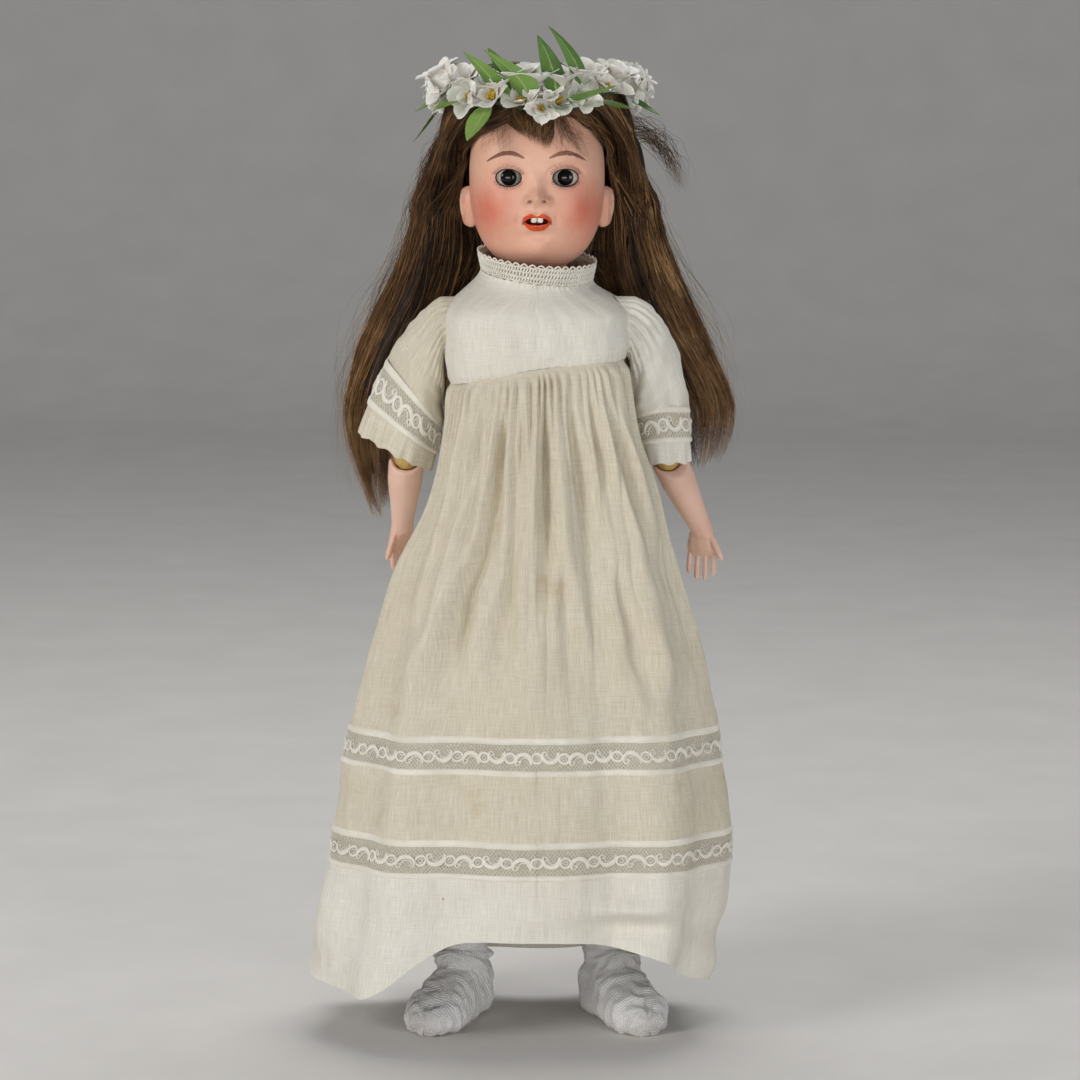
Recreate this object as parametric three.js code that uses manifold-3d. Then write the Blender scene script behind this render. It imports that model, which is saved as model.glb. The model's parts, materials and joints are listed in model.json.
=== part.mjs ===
// A porcelain head doll in a long white dress, standing on its feet.
// A hollow bisque socket head with weighted sleeping eyes turns in a strung composition body.
// The limbs swing on balls that the elastic holds in their sockets.
// Millimetres, +Z up. The doll faces -Y, so its own left side is +X.
// The origin lies on the floor under the middle of the whole outline.

import * as THREE from 'three';
import { mergeVertices } from 'three/addons/utils/BufferGeometryUtils.js';
import Module from 'manifold-3d';

const wasm = await Module();
wasm.setup();

const { degToRad, lerp, smoothstep } = THREE.MathUtils;
const LEFT = 1;
const RIGHT = -1;

// Fits
const SEAT_GAP = 0.3;
const TURN_GAP = 0.4;
const HIP_GAP = 0.1;
const CUT_MARGIN = 40;
const CUT_REACH = 300;

// Middle of the outline, measured from the doll's own middle line at the hips
const OUTLINE_MIDDLE = { x: -11, y: -7 };

// Leg
const SOCK_WALL = 1.4;
const ANKLE_HEIGHT = 42;
const SHIN_LENGTH = 110.07;
const THIGH_LENGTH = 121;
const LEG_SPREAD = degToRad(3.47);
const LEG_LEAN = degToRad(3);
const HIP_HALF_SPACING = 32;
const HIP_Y = 2;
const HIP_RADIUS = 23;
const KNEE_BALL_RADIUS = 13.5;
const KNEE_RADIUS = 16.5;
const CALF_RADIUS = 18;
const ANKLE_RADIUS = 13.5;
const HIP_FORWARD = degToRad(75);
const HIP_BACK = degToRad(15);
const SLOT_CLEARANCE = 2;
const KNEE_BEND = degToRad(80);
const FOOT_LENGTH = 78;
const FOOT_HALF_WIDTH = 17;
const FOOT_HEEL = 24;
const INSTEP_HEIGHT = 40;
const TOE_HEIGHT = 21;
const FOOT_POWER = 2.6;
const FOOT_BELLY = 0.45;
const FOOT_SECTIONS = [
  { along: -FOOT_HEEL, width: 8, top: 20 },
  { along: -FOOT_HEEL + 5, width: 14, top: INSTEP_HEIGHT - 8 },
  { along: 0, width: FOOT_HALF_WIDTH - 3, top: INSTEP_HEIGHT },
  { along: 22, width: FOOT_HALF_WIDTH - 1, top: INSTEP_HEIGHT - 11 },
  { along: FOOT_LENGTH - FOOT_HEEL - 14, width: FOOT_HALF_WIDTH, top: TOE_HEIGHT },
  { along: FOOT_LENGTH - FOOT_HEEL - 4, width: FOOT_HALF_WIDTH - 4, top: TOE_HEIGHT - 4 },
  { along: FOOT_LENGTH - FOOT_HEEL, width: 7, top: TOE_HEIGHT - 9 },
];
const TOE_OUT = degToRad(24);
const SOCK_TOP_DROP = 62;
const SOCK_RUCK = 1.6;
const SOCK_RUCK_COUNT = 3;
const SOCK_GAP = 0.9;

// Torso, with heights above the hips
const SHOULDER_HEIGHT = 158;
const NECK_RISE = 26;
const NECK_HEIGHT = SHOULDER_HEIGHT + NECK_RISE;
const NECK_Y = 4;
const TORSO_WALL = 5;
const TORSO_POWER = 2.4;
const TORSO_SECTIONS = [
  { height: -22, width: 14, depth: 15, y: 3 },
  { height: -14, width: 38, depth: 28, y: 2 },
  { height: 0, width: 54, depth: 36, y: 0 },
  { height: 28, width: 54, depth: 39, y: -2 },
  { height: 60, width: 51, depth: 38, y: -3 },
  { height: 95, width: 48, depth: 35, y: -1 },
  { height: SHOULDER_HEIGHT - 28, width: 50, depth: 34, y: 0 },
  { height: SHOULDER_HEIGHT - 8, width: 52.4, depth: 33, y: 0 },
  { height: SHOULDER_HEIGHT + 5, width: 50, depth: 30, y: 1 },
  { height: SHOULDER_HEIGHT + 15, width: 41, depth: 27, y: 2 },
  { height: SHOULDER_HEIGHT + 22, width: 31, depth: 26, y: 3 },
  { height: NECK_HEIGHT, width: 26, depth: 25, y: NECK_Y },
];

// Arm
const SHOULDER_BALL_RADIUS = 9;
const SHOULDER_CLEARANCE = 0.8;
const SHOULDER_OFFSET = 1;
const UPPER_ARM_LENGTH = 84;
const UPPER_ARM_RADIUS = 12.4;
const ELBOW_BALL_RADIUS = 8;
const ELBOW_RADIUS = 11;
const FOREARM_LENGTH = 50;
const WRIST_RADIUS = 6.6;
const ELBOW_BEND = degToRad(100);
const PALM_LENGTH = 17;
const PALM_HALF_WIDTH = 10;
const PALM_HALF_DEPTH = 5;
const FINGER_LENGTH = 16;
const FINGER_RADIUS = 2.3;
const FINGER_COUNT = 4;
const FINGER_CURL = degToRad(14);
const FINGER_SINK = 4;
const FINGER_FAN = 0.12;
const FINGER_ARCH = 0.9;
const FINGER_EDGE = 0.4;
const THUMB_SPREAD = degToRad(34);
const THUMB = { inset: 3, forward: 1, drop: 5, forwards: 0.3, shorter: 1, thicker: 0.3 };
const PALM_POWER = 2.2;
const PALM_SECTIONS = [
  { drop: -2, width: WRIST_RADIUS, depth: WRIST_RADIUS },
  { drop: 5, width: PALM_HALF_WIDTH - 1.5, depth: PALM_HALF_DEPTH },
  { drop: PALM_LENGTH - 5, width: PALM_HALF_WIDTH, depth: PALM_HALF_DEPTH },
  { drop: PALM_LENGTH, width: PALM_HALF_WIDTH - 1.5, depth: 0.6 * PALM_HALF_DEPTH },
];
const ARM_POSE = {
  [LEFT]: { spread: 14, back: 5, foreSpread: 25, foreBack: 12, wristIn: 22, twist: -25 },
  [RIGHT]: { spread: 14, back: 7, foreSpread: 4, foreBack: 27, wristIn: 0, twist: 40 },
};

// Head
const HEAD_RISE = 65;
const HEAD_HALF_WIDTH = 40.5;
const HEAD_FRONT = 42;
const HEAD_BACK = 50;
const HEAD_TOP = 52;
const HEAD_BOTTOM = 53;
const HEAD_POWER = 2.5;
const HEAD_WALL = 3.2;
const FACE_WALL = 6.5;
const NECK_RADIUS = 18;
const NECK_BALL_RADIUS = 20;
const NECK_HOLE_RADIUS = 6;
const NECK_SINK = 12;
const NECK_BALL_ARC = { from: degToRad(-70), to: degToRad(20) };
const CROWN_CUT_HEIGHT = 37;
const CROWN_CUT_TILT = degToRad(16);
const EAR = { y: 6, z: -21.5, halfWidth: 5.5, halfDepth: 8.5, halfHeight: 12.5 };
const CONCHA = { size: 0.62, forward: 2 };
const EYE_RADIUS = 10.2;
const EYE_HALF_SPACING = 16.8;
const EYE_DEPTH = 25.6;
const EYE_OPENING = { halfWidth: 7.2, halfHeight: 5 };
const ROCKER_RADIUS = 1.6;
const WEIGHT_RADIUS = 6;
const WEIGHT_ARM = 24;
const WEIGHT_SET_BACK = 6;
const MOUTH = { z: -25, halfWidth: 5.4, halfHeight: 1.9 };
const MOUTH_POCKET = { y: -29.5, halfWidth: 10, halfDepth: 9, halfHeight: 8 };
const TOOTH = { width: 3, height: 3.4, depth: 1.5, gap: 0.5 };
const TONGUE = { halfWidth: 5, halfDepth: 4, halfHeight: 1.8, lift: 1 };

// Relief of the face: where it is seen from the front, how far it spreads and how far it rises
const FACE_RELIEF = [
  { name: 'forehead', x: 0, z: 22, width: 24, height: 13, rise: 1.5 },
  { name: 'nose bridge', x: 0, z: -4, width: 4.2, height: 6, rise: 2.6 },
  { name: 'nose tip', x: 0, z: -12, width: 4.4, height: 4.2, rise: 7.5 },
  { name: 'nostril wing', x: 6, z: -13.5, width: 2.8, height: 2.6, rise: 3, pair: true },
  { name: 'brow', x: 17, z: 12, width: 10, height: 4, rise: 1.4, pair: true },
  { name: 'eye hollow', x: 16.8, z: 0, width: 8.5, height: 6, rise: -3, pair: true },
  { name: 'cheek', x: 24, z: -20, width: 11, height: 11, rise: 4, pair: true },
  { name: 'mouth mound', x: 0, z: -24, width: 11, height: 8, rise: 3 },
  { name: 'upper lip', x: 4, z: -21.8, width: 4, height: 1.7, rise: 1.8, pair: true },
  { name: 'lower lip', x: 0, z: -28.3, width: 5, height: 2, rise: 2.6 },
  { name: 'chin crease', x: 0, z: -34, width: 8, height: 2.6, rise: -1.6 },
  { name: 'chin', x: 0, z: -43, width: 9, height: 7, rise: 4.5 },
];

// Stringing
const ELASTIC_RADIUS = 2;
const ELASTIC_CLEARANCE = 1;
const HOOK_WIRE_RADIUS = 1.3;
const HOOK_DROP = 34;
const HOOK_SET_BACK = 7;
const HOOK_EYE_RADIUS = 4;
const HOOK_HEAD = { radius: 4, halfHeight: 1.5, sink: 2 };
const HOOK_TAIL = 3;
const LEG_ELASTIC = { spread: 4.4, drop: 2.8, inwards: 0.8, back: 2, up: 30, over: 0.4 };
const PLUG_RADIUS = 11;
const PLUG_HEIGHT = 9;

// Wig
const HAIR_GAP = 2.1;
const HAIR_TOP = 11;
const HAIR_SIDE = 26;
const HAIR_EDGE_SHARE = 0.4;
const HAIR_RAMP = { from: -0.05, to: 0.5 };
const FRINGE_THICKNESS = 3.5;
const FRINGE_HALF_ANGLE = degToRad(17);
const FRINGE_DROP = degToRad(15);
const FRINGE_TURN = degToRad(3);
const FRINGE_START = degToRad(0.6);
const FRINGE_EDGE = { length: 0.35, thickness: 0.4, tip: 0.5 };
const WIG_EDGE_ROOM = 0.03;
const HAIRLINE = { front: 37, side: 22, back: -38 };
const LOCK_LOBES = 5;
const LOCK_LOBE_DEPTH = 0.16;

// Wreath
const WREATH_WIRE_RADIUS = 1.6;
const WREATH_ELEVATION = degToRad(43);
const FLOWER_UP = degToRad(30);
const FLOWER_RADIUS = 14;
const FLOWER_DEPTH = 11;
const FLOWER_WALL = 1.2;
const FLOWER_BASE_RADIUS = 3;
const PETALS = 5;
const PETAL_NOTCH = 0.22;
const FLOWER_BANDS = [0, 0.12, 0.45, 1];
const FLOWER_FLARE = 0.7;
const LEAF_LENGTH = 36;
const LEAF_HALF_WIDTH = 6.5;
const LEAF_WALL = 1;
const LEAF_CURL = 5;
const LEAF_FOLD = 0.25;
const LEAF_ENDS = { from: 0.08, to: 0.98, roundness: 0.8 };
const FLOWER_AZIMUTHS = [-105, -60, -30, 15, 45, 75];
const LEAF_PLACES = [
  { azimuth: -90, up: -62 },
  { azimuth: -15, up: 72 },
  { azimuth: 30, up: 76 },
  { azimuth: 60, up: -52 },
];

// Dress
const CLOTH_WALL = 1.4;
const BODICE_HALF_WIDTH = 55;
const BODICE_FRONT = 45;
const BODICE_BACK = 42;
const BODICE_POWER = 3.4;
const SHOULDER_START = 0.45;
const SHOULDER_ROUND = { side: 1.6, front: 1.2 };
const ARMHOLE_RADIUS = 17;
const WAIST_HEIGHT = 130;
const WAIST_SLANT = { side: 7, front: 3 };
const COLLAR = { bottomRadius: 33, topRadius: 37.5, height: 11, wall: 1.6, rise: 5.5, side: 3.5, front: 4 };
const BUTTON = { radius: 4, thickness: 2, count: 2, spacing: 18, drop: 9 };
const SLEEVE = {
  [LEFT]: {
    inner: { x: 60, drop: 80 },
    bulge: { x: 94, drop: -8 },
    outer: { x: 96, drop: 76 },
    y: 5,
    depth: 24,
  },
  [RIGHT]: {
    inner: { x: 61, drop: 82 },
    bulge: { x: 86, drop: -4 },
    outer: { x: 107, drop: 50 },
    y: 5,
    depth: 25,
  },
};
const SLEEVE_HEAD_RADIUS = 18.6;
const SLEEVE_HEAD_DEPTH = 21;
const SLEEVE_FOLDS = 5;
const SLEEVE_FOLD_DEPTH = 1.8;
const SLEEVE_PRESSED = 0.15;
const CUFF_START = 0.68;
const LACE_HEIGHT = 20;
const UPPER_LACE_DROP = 213;
const LOWER_LACE_DROP = 275;
const HEM_DROP = 372;
const HEM_LEFT = 146;
const HEM_RIGHT = 102;
const SKIRT_POWER = 2.9;
const SKIRT_SECTIONS = [
  { drop: -8, left: 54, right: 58, front: 46.5, back: 43.5, fold: 0.5, behindArm: 54.6 },
  { drop: 8, left: 56, right: 62, front: 48, back: 44, fold: 0.9, behindArm: 54.8 },
  { drop: 40, left: 65, right: 71, front: 51, back: 45, fold: 2.2, behindArm: 56.5 },
  { drop: 75, left: 74, right: 81, front: 56, back: 47, fold: 2.8, behindArm: 58.5 },
  { drop: 113, left: 86, right: 91, front: 61, back: 51, fold: 3.2, behindArm: 68 },
  {
    drop: UPPER_LACE_DROP - 45, left: HEM_LEFT - 42, right: HEM_RIGHT + 2,
    front: 69, back: 57, fold: 3.5, behindArm: 100,
  },
  {
    drop: UPPER_LACE_DROP + 9, left: HEM_LEFT - 29, right: HEM_RIGHT + 11,
    front: 76, back: 63, fold: 3.5, behindArm: 140,
  },
  {
    drop: LOWER_LACE_DROP + 20, left: HEM_LEFT - 17, right: HEM_RIGHT + 18,
    front: 83, back: 70, fold: 4, behindArm: 160,
  },
  {
    drop: HEM_DROP - 22, left: HEM_LEFT - 5, right: HEM_RIGHT + 10,
    front: 87, back: 75, fold: 5, behindArm: 160,
  },
  { drop: HEM_DROP + 8, left: HEM_LEFT, right: HEM_RIGHT, front: 88, back: 77, fold: 5, behindArm: 160 },
];
const SKIRT_FOLDS = 9;
const FOLD_DRIFT = 0.8;
const ARM_SHADOW = { from: -32, to: -20 };
const HEM_FRONT_LIFT = { rise: 40, spread: 29, steepness: 4 };
const HEM_SIDE_LIFT = { rise: 8, spread: 34 };

// Mesh counts
const HEAD_COLUMNS = 32;
const HEAD_ROWS = 23;
const FACE_CROWDING = 0.4;
const EYE_SIDES = 14;
const NECK_BALL_BANDS = 6;
const HOLLOW_SIDES = 12;
const HOLLOW_ROWS = 8;
const LIMB_SIDES = 12;
const FOOT_ROWS = 6;
const BALL_SIDES = 10;
const TORSO_SIDES = 18;
const TORSO_ROWS = 11;
const BODICE_SIDES = 24;
const BODICE_ROWS = 6;
const SKIRT_SIDES = 45;
const SLEEVE_SIDES = 20;
const WIG_COLUMNS = 24;
const WIG_ROWS = 7;
const LOCK_SIDES = 18;
const FRINGE_ROWS = 4;
const FRINGE_COLUMNS = 8;
const LEAF_ROWS = 5;
const FLOWER_SIDES = 10;
const FINGER_SIDES = 5;
const WIRE_SIDES = 6;

// Places worked out from the sizes above
const HIP_Z = ANKLE_HEIGHT + (SHIN_LENGTH + THIGH_LENGTH) * Math.cos(LEG_SPREAD) * Math.cos(LEG_LEAN);
const SHOULDER_Z = HIP_Z + SHOULDER_HEIGHT;
const NECK_Z = HIP_Z + NECK_HEIGHT;
const WAIST_Z = HIP_Z + WAIST_HEIGHT;
const COLLAR_Z = NECK_Z + COLLAR.rise;
const HEAD_CENTRE = new THREE.Vector3(0, 0, NECK_Z + HEAD_RISE);
const ARM_PLANE = BODICE_HALF_WIDTH + CLOTH_WALL + 2 * SHOULDER_CLEARANCE;
const SHOULDER_X = ARM_PLANE + SHOULDER_OFFSET;

// Closed surfaces

class Skin {
  constructor() {
    this.positions = [];
  }

  triangle(a, b, c) {
    this.positions.push(a.x, a.y, a.z, b.x, b.y, b.z, c.x, c.y, c.z);
  }

  quad(a, b, c, d) {
    this.triangle(a, b, c);
    this.triangle(a, c, d);
  }

  grid(rows, wrap) {
    for (let r = 0; r + 1 < rows.length; r += 1) {
      const columns = rows[r].length;
      for (let c = 0; c < (wrap ? columns : columns - 1); c += 1) {
        const next = (c + 1) % columns;
        this.quad(rows[r][c], rows[r][next], rows[r + 1][next], rows[r + 1][c]);
      }
    }
  }

  geometry() {
    const loose = new THREE.BufferGeometry();
    loose.setAttribute('position', new THREE.Float32BufferAttribute(this.positions, 3));
    return closed(loose);
  }
}

// Merges shared corners, drops flat triangles and turns the faces outwards.
function closed(geometry) {
  const bare = new THREE.BufferGeometry();
  bare.setAttribute('position', geometry.getAttribute('position').clone());
  if (geometry.index) bare.setIndex(geometry.index.clone());
  const merged = mergeVertices(bare, 1e-4);
  const corner = merged.getAttribute('position');
  const kept = [];
  const [a, b, c] = [new THREE.Vector3(), new THREE.Vector3(), new THREE.Vector3()];
  let volume = 0;
  for (let i = 0; i < merged.index.count; i += 3) {
    const [p, q, r] = [0, 1, 2].map((k) => merged.index.getX(i + k));
    if (p === q || q === r || r === p) continue;
    kept.push(p, q, r);
    a.fromBufferAttribute(corner, p);
    b.fromBufferAttribute(corner, q);
    c.fromBufferAttribute(corner, r);
    volume += a.dot(b.cross(c));
  }
  merged.setIndex(volume < 0 ? kept.reverse() : kept);
  return merged;
}

// A solid with a ring of points for each row, closed at both ends.
function loft(rows) {
  const skin = new Skin();
  skin.grid(rows, true);
  for (const row of [rows[0], rows.at(-1)]) {
    const middle = row.reduce((sum, p) => sum.add(p), new THREE.Vector3()).divideScalar(row.length);
    for (let c = 0; c < row.length; c += 1) {
      const [here, next] = [row[c], row[(c + 1) % row.length]];
      if (row === rows[0]) skin.triangle(next, here, middle);
      else skin.triangle(here, next, middle);
    }
  }
  return skin.geometry();
}

// A thin wall between two surfaces of matching points.
function wall(outer, inner, wrap) {
  const skin = new Skin();
  skin.grid(outer, wrap);
  skin.grid(inner.map((row) => [...row].reverse()), wrap);
  const last = outer.length - 1;
  skin.grid([inner[0], outer[0]], wrap);
  skin.grid([outer[last], inner[last]], wrap);
  if (!wrap) {
    const side = (rows, column) => rows.map((row) => row.at(column));
    skin.grid([side(outer, 0), side(inner, 0)], false);
    skin.grid([side(inner, -1), side(outer, -1)], false);
  }
  return skin.geometry();
}

// Booleans

function solidOf(geometry) {
  const tidy = closed(geometry);
  const mesh = new wasm.Mesh({
    numProp: 3,
    vertProperties: new Float32Array(tidy.getAttribute('position').array),
    triVerts: new Uint32Array(tidy.index.array),
  });
  return new wasm.Manifold(mesh);
}

function geometryOf(solid) {
  const mesh = solid.getMesh();
  const geometry = new THREE.BufferGeometry();
  geometry.setAttribute('position', new THREE.BufferAttribute(new Float32Array(mesh.vertProperties), 3));
  geometry.setIndex(new THREE.BufferAttribute(new Uint32Array(mesh.triVerts), 1));
  return geometry;
}

function cut(geometry, ...tools) {
  return geometryOf(tools.reduce((solid, tool) => solid.subtract(solidOf(tool)), solidOf(geometry)));
}

function join(first, ...others) {
  return geometryOf(others.reduce((solid, other) => solid.add(solidOf(other)), solidOf(first)));
}

function common(first, second) {
  return geometryOf(solidOf(first).intersect(solidOf(second)));
}

// Plain shapes

function ball(radius, centre, sides = BALL_SIDES) {
  const geometry = new THREE.SphereGeometry(radius, sides, Math.round(sides * 0.6));
  return geometry.rotateX(Math.PI / 2).translate(centre.x, centre.y, centre.z);
}

// The room that a ball needs: a ball so large that its flats clear the radius too.
function cup(radius, centre, sides = LIMB_SIDES) {
  const flat = Math.cos(Math.PI / sides) * Math.cos(Math.PI / (2 * Math.round(sides * 0.6)));
  return ball(radius / flat, centre, sides);
}

function pebble(halfWidth, halfDepth, halfHeight, centre, sides = BALL_SIDES) {
  const geometry = ball(1, new THREE.Vector3(), sides).scale(halfWidth, halfDepth, halfHeight);
  return geometry.translate(centre.x, centre.y, centre.z);
}

// Everything on the side of a point that a direction points to, as a large box.
function halfSpace(point, direction, reach) {
  const box = new THREE.BoxGeometry(reach, reach, reach).translate(0, 0, reach / 2);
  const turn = new THREE.Quaternion().setFromUnitVectors(new THREE.Vector3(0, 0, 1), direction);
  return box.applyQuaternion(turn).translate(point.x, point.y, point.z);
}

// A rod of given section along a path.
function tube(points, radius, steps = 2 * points.length) {
  const section = new THREE.Shape().absarc(0, 0, radius, 0, 2 * Math.PI);
  return new THREE.ExtrudeGeometry(section, {
    steps,
    curveSegments: WIRE_SIDES / 2,
    extrudePath: new THREE.CatmullRomCurve3(points),
  });
}

// Values between keys, smoothed as a curve through them.
function through(keys, name, place, at) {
  const last = keys.length - 1;
  const inside = THREE.MathUtils.clamp(at, keys[0][place], keys[last][place]);
  const next = keys.findIndex((key) => key[place] > inside);
  const k = next < 0 ? last - 1 : Math.max(next - 1, 0);
  const [a, b] = [keys[k], keys[k + 1]];
  const before = keys[Math.max(k - 1, 0)];
  const after = keys[Math.min(k + 2, last)];
  const span = b[place] - a[place];
  const t = (inside - a[place]) / span;
  const slope = (p, q) => (q[place] === p[place] ? 0 : (q[name] - p[name]) / (q[place] - p[place]));
  const [m0, m1] = [slope(before, b) * span, slope(a, after) * span];
  const [t2, t3] = [t * t, t * t * t];
  const ends = (2 * t3 - 3 * t2 + 1) * a[name] + (3 * t2 - 2 * t3) * b[name];
  return ends + (t3 - 2 * t2 + t) * m0 + (t3 - t2) * m1;
}

// An outline round +Z. Its angle starts at the front and grows towards the doll's left.
function outlinePoint(angle, left, right, front, back, power) {
  const [s, c] = [Math.sin(angle), Math.cos(angle)];
  const round = (value) => Math.sign(value) * Math.abs(value) ** (2 / power);
  return new THREE.Vector3(round(s) * (s < 0 ? left : right), -round(c) * (c > 0 ? front : back), 0);
}

function angles(count) {
  return Array.from({ length: count }, (_, i) => (2 * Math.PI * i) / count);
}

function steps(count) {
  return Array.from({ length: count + 1 }, (_, i) => i / count);
}

function bell(value, middle, spread) {
  return Math.exp(-(((value - middle) / spread) ** 2));
}

function turnedAngle(angle) {
  return Math.atan2(Math.sin(angle), Math.cos(angle));
}

// Materials

function paint(colour, roughness, metalness = 0) {
  return new THREE.MeshStandardMaterial({ color: colour, roughness, metalness });
}

const BISQUE = () => paint(0xdeaa91, 0.55);
const COMPOSITION = () => paint(0xd7aa91, 0.45);
const WOOD = () => paint(0xcfa95e, 0.6);
const STEEL = () => paint(0x8f9296, 0.35, 1);
const LEAD = () => paint(0x6d6f73, 0.6, 1);
const GLASS = () => paint(0x21150f, 0.08);
const ENAMEL = () => paint(0xf2efe6, 0.2);
const FELT = () => paint(0xb53a2a, 0.8);
const ELASTIC = () => paint(0xd9cfb8, 0.8);
const HAIR = () => paint(0x4a3423, 0.5);
const CARDBOARD = () => paint(0xb39a72, 0.9);
const PETAL = () => paint(0xe6e5dd, 0.6);
const LEAF = () => paint(0x5f8c3c, 0.6);
const GREEN_WIRE = () => paint(0x3f5a2e, 0.7);
const LAWN = () => paint(0xcdc6b2, 0.9);
const WHITE_LAWN = () => paint(0xdedbcc, 0.9);
const LACE = () => paint(0xd8d2c0, 0.9);
const PEARL = () => paint(0xeae6da, 0.3);
const KNIT = () => paint(0xd7d4d4, 0.95);

const doll = new THREE.Group();
doll.position.set(-OUTLINE_MIDDLE.x, -OUTLINE_MIDDLE.y, 0);

function add(name, geometry, material) {
  const mesh = new THREE.Mesh(geometry, material);
  mesh.name = name;
  doll.add(mesh);
}

function sideName(name, side) {
  return `${name}_${side === LEFT ? 'left' : 'right'}`;
}

// Limb places

function turned(x, y, z) {
  return new THREE.Matrix4().makeRotationFromEuler(new THREE.Euler(x, y, z));
}

function placed(point, ...turns) {
  const matrix = new THREE.Matrix4().makeTranslation(point.x, point.y, point.z);
  return turns.reduce((sum, turn) => sum.multiply(turn), matrix);
}

function down(distance) {
  return new THREE.Vector3(0, 0, -distance);
}

function hipPlace(side) {
  const centre = new THREE.Vector3(side * HIP_HALF_SPACING, HIP_Y, HIP_Z);
  return placed(centre, turned(LEG_LEAN, -side * LEG_SPREAD, 0));
}

function shoulderPlace(side) {
  const pose = ARM_POSE[side];
  const turn = turned(degToRad(pose.back), -side * degToRad(pose.spread), 0);
  return placed(new THREE.Vector3(side * SHOULDER_X, 0, SHOULDER_Z), turn);
}

function elbowPlace(side) {
  const pose = ARM_POSE[side];
  const elbow = down(UPPER_ARM_LENGTH).applyMatrix4(shoulderPlace(side));
  return placed(elbow, turned(degToRad(pose.foreBack), -side * degToRad(pose.foreSpread), 0));
}

// A round limb that hangs down from its joint, with a ring at each drop.
function limbRows(sections, drops, extra = 0) {
  return drops.map((drop) => {
    const radius = through(sections, 'radius', 'drop', drop) + extra;
    return angles(LIMB_SIDES).map((angle) => {
      return new THREE.Vector3(radius * Math.sin(angle), -radius * Math.cos(angle), -drop);
    });
  });
}

function evenDrops(from, to, count) {
  return steps(count).map((t) => lerp(from, to, t));
}

function wholeLimb(sections) {
  return loft(limbRows(sections, sections.map((section) => section.drop)));
}

// What a hinge across the doll takes off the limbs above and below it, so that they can close.
function hingeCuts(centre, bend, closingY, keepUp) {
  const vertical = keepUp ? -1 : 1;
  const reach = CUT_MARGIN * 4;
  const lean = bend / 2;
  const level = new THREE.Vector3(0, 0, vertical);
  const bevel = new THREE.Vector3(0, closingY * Math.sin(lean), vertical * Math.cos(lean));
  return [level, bevel].map((direction) => {
    const point = centre.clone().addScaledVector(direction, -TURN_GAP);
    return halfSpace(point, direction, reach);
  });
}

// Torso

function torsoRows(inset, rows, sides) {
  const bottom = TORSO_SECTIONS[0].height + inset;
  const top = TORSO_SECTIONS.at(-1).height - inset;
  return steps(rows).map((t) => {
    const height = lerp(bottom, top, t);
    const value = (name) => through(TORSO_SECTIONS, name, 'height', height);
    const width = Math.max(value('width') - inset, 1);
    const depth = Math.max(value('depth') - inset, 1);
    return angles(sides).map((angle) => {
      const p = outlinePoint(angle, width, width, depth, depth, TORSO_POWER);
      return p.setZ(HIP_Z + height).setY(p.y + value('y'));
    });
  });
}

// The slot that a thigh sweeps out of the torso when it swings forwards and back.
function legOpening(side) {
  const reach = HIP_RADIUS + TURN_GAP;
  const along = (swing) => new THREE.Vector2(Math.sin(swing), -Math.cos(swing));
  const across = (swing, offset) => along(swing + Math.PI / 2).multiplyScalar(offset);
  const back = -(HIP_BACK + LEG_LEAN);
  const middle = (HIP_FORWARD + back) / 2;
  const outline = [
    across(back, -reach),
    across(back, -reach).addScaledVector(along(back), THIGH_LENGTH),
    along(middle).multiplyScalar(2 * THIGH_LENGTH),
    across(HIP_FORWARD, reach).addScaledVector(along(HIP_FORWARD), THIGH_LENGTH),
    across(HIP_FORWARD, reach),
  ];
  const width = 2 * (reach + SLOT_CLEARANCE);
  const slot = new THREE.ExtrudeGeometry(new THREE.Shape(outline), { depth: width, bevelEnabled: false });
  const [forward, up] = [new THREE.Vector3(0, -1, 0), new THREE.Vector3(0, 0, 1)];
  const turn = new THREE.Matrix4().makeBasis(forward, up, new THREE.Vector3(-1, 0, 0));
  slot.translate(0, 0, -width / 2).applyMatrix4(turn);
  return slot.translate(side * HIP_HALF_SPACING, HIP_Y, HIP_Z);
}

function hipCup(side) {
  return cup(HIP_RADIUS + HIP_GAP, new THREE.Vector3(side * HIP_HALF_SPACING, HIP_Y, HIP_Z));
}

function torso() {
  const shoulders = [LEFT, RIGHT].map((side) => {
    return cup(SHOULDER_BALL_RADIUS + TURN_GAP, new THREE.Vector3(side * SHOULDER_X, 0, SHOULDER_Z));
  });
  const hole = ELASTIC_RADIUS + ELASTIC_CLEARANCE;
  const stringing = new THREE.CylinderGeometry(hole, hole, 2 * SHOULDER_X, WIRE_SIDES);
  stringing.rotateZ(Math.PI / 2).translate(0, 0, SHOULDER_Z);
  const neck = cup(NECK_BALL_RADIUS + TURN_GAP, new THREE.Vector3(0, NECK_Y, NECK_Z));
  const hollow = loft(torsoRows(TORSO_WALL, HOLLOW_ROWS, HOLLOW_SIDES));
  const hips = [LEFT, RIGHT].flatMap((side) => [hipCup(side), legOpening(side)]);
  return cut(loft(torsoRows(0, TORSO_ROWS, TORSO_SIDES)), hollow, ...hips, ...shoulders, stringing, neck);
}

// Legs

const THIGH_SECTIONS = [
  { drop: 0, radius: HIP_RADIUS },
  { drop: 35, radius: HIP_RADIUS },
  { drop: 62, radius: HIP_RADIUS - 2 },
  { drop: 90, radius: KNEE_RADIUS + 2 },
  { drop: THIGH_LENGTH, radius: KNEE_RADIUS },
];
const SHIN_SECTIONS = [
  { drop: 0, radius: KNEE_RADIUS },
  { drop: 16, radius: KNEE_RADIUS + 0.5 },
  { drop: 35, radius: CALF_RADIUS },
  { drop: 55, radius: CALF_RADIUS - 0.5 },
  { drop: 80, radius: ANKLE_RADIUS + 2 },
  { drop: SHIN_LENGTH, radius: ANKLE_RADIUS },
  { drop: SHIN_LENGTH + 14, radius: ANKLE_RADIUS },
];

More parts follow.
